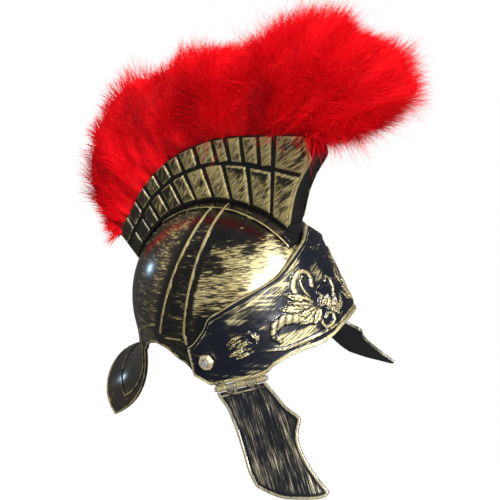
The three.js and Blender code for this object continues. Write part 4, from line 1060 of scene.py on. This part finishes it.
def make_nut(side):
    """A hexagon nut with chamfered corners round the bolt's end."""
    face = HALF_WIDTH + SIDE_GAP + VISOR_WALL - SIDE_FLARE * PIVOT_Z
    inner = face * math.sin(math.radians(VISOR_TURN)) * math.sqrt(1 - (PIVOT_Y / HALF_LENGTH) ** 2)
    inner = inner + WASHER + RUN_GAP
    skin = Skin()
    rings = []
    a = 2 * math.pi * np.arange(48) / 48
    hexagon = NUT_RADIUS * math.cos(math.pi / 6) / np.cos((a + math.pi / 6) % (math.pi / 3) - math.pi / 6)
    across, up = np.cos(a + math.pi / 2), np.sin(a + math.pi / 2)
    for depth, radius in NUT_PROFILE:
        r = np.minimum(hexagon, radius)
        rings.append(vec(-(inner + depth), PIVOT_Y + r * across, PIVOT_Z + r * up))
    skin.grid(np.array(rings), 1.0, wrap=True)
    if side > 0:
        skin.points = [p * [-1, 1, 1] for p in skin.points]
    return skin


for side, word in ((-1, "right"), (1, "left")):
    place(f"nut_{word}", make_nut(side), "shell", brass_look, [f"pivot_nut_{word}"], 30)

plume_body = make_plume_body()
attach(plume_body, "shell")
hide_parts("plume")
down_look = feather("feather_barbs", True)

for row in BARB_SETS:
    made = barbs(*row)
    made.data.materials.append(down_look)
    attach(made, "shell")


# Stage, camera and lights
def plain(name):
    """A flat white that needs no light."""
    material, _, _, dress = nodes_of(name)
    dress({
        "Base Color": (0.0, 0.0, 0.0),
        "Roughness": 0.9,
        "Emission Color": (1, 1, 1),
        "Emission Strength": 1.0,
    })
    return material


bpy.ops.mesh.primitive_plane_add(size=60, location=(0, 0, -0.6))
floor = bpy.context.object
floor.name = "floor"
floor.data.materials.append(plain("floor_pale"))
bpy.ops.mesh.primitive_uv_sphere_add(segments=48, ring_count=24, radius=29, location=(0, 0, 0))
sky = bpy.context.object
sky.name = "backdrop"
sky.data.materials.append(plain("backdrop_pale"))
for thing in (floor, sky):
    thing.visible_glossy = thing.visible_diffuse = thing.visible_transmission = False
    thing.visible_shadow = thing.visible_volume_scatter = False

camera_data = bpy.data.cameras.new("camera")
camera_data.lens = 40.25
camera_data.sensor_width = 36
camera_data.clip_end = 100
camera = bpy.data.objects.new("camera", camera_data)
bpy.context.scene.collection.objects.link(camera)
right = Vector((0.44129335, -0.86767866, -0.22889718))
up = Vector((0.27167387, -0.11392627, 0.95562237))
back = Vector((-0.85525054, -0.48389518, 0.18545071))
turned = Matrix((right, up, back)).transposed().to_4x4()
camera.matrix_world = Matrix.Translation((-0.499136, -0.316723, 0.050138)) @ turned
bpy.context.scene.camera = camera


def area(name, place_, size, power, mirrored=False, colour=(1, 1, 1)):
    """A round lamp that faces the helmet; only a mirrored one shows in the gloss."""
    data = bpy.data.lights.new(name, "AREA")
    data.shape, data.size, data.energy, data.color = "DISK", size, power, colour
    lamp = bpy.data.objects.new(name, data)
    bpy.context.scene.collection.objects.link(lamp)
    lamp.location = place_
    lamp.rotation_mode = "QUATERNION"
    lamp.rotation_quaternion = Vector(place_).to_track_quat("Z", "Y")
    lamp.visible_glossy = mirrored


area("key", (-0.40, -1.78, 0.72), 0.6, 46, True)
area("key_low", (-1.32, -1.43, 0.37), 0.6, 30, True)
area("front", (-0.9, -1.5, 0.9), 1.0, 20)
area("top", (-0.2, 0.3, 1.6), 1.0, 27)
area("side", (-1.7, 0.5, 0.3), 0.9, 12)
area("low", (-0.8, -1.0, -1.0), 0.8, 5)
area("far", (1.4, -0.6, 0.6), 0.8, 5)
area("glint", (-0.14, 1.55, 0.47), 0.12, 1.2, True, (0.5, 0.75, 1))

world = bpy.data.worlds.new("studio")
world.use_nodes = True
world.node_tree.nodes["Background"].inputs[0].default_value = (1, 1, 1, 1)
world.node_tree.nodes["Background"].inputs[1].default_value = 0.08
bpy.context.scene.world = world
bpy.context.scene.view_settings.view_transform = "Standard"

bpy.context.view_layer.update()
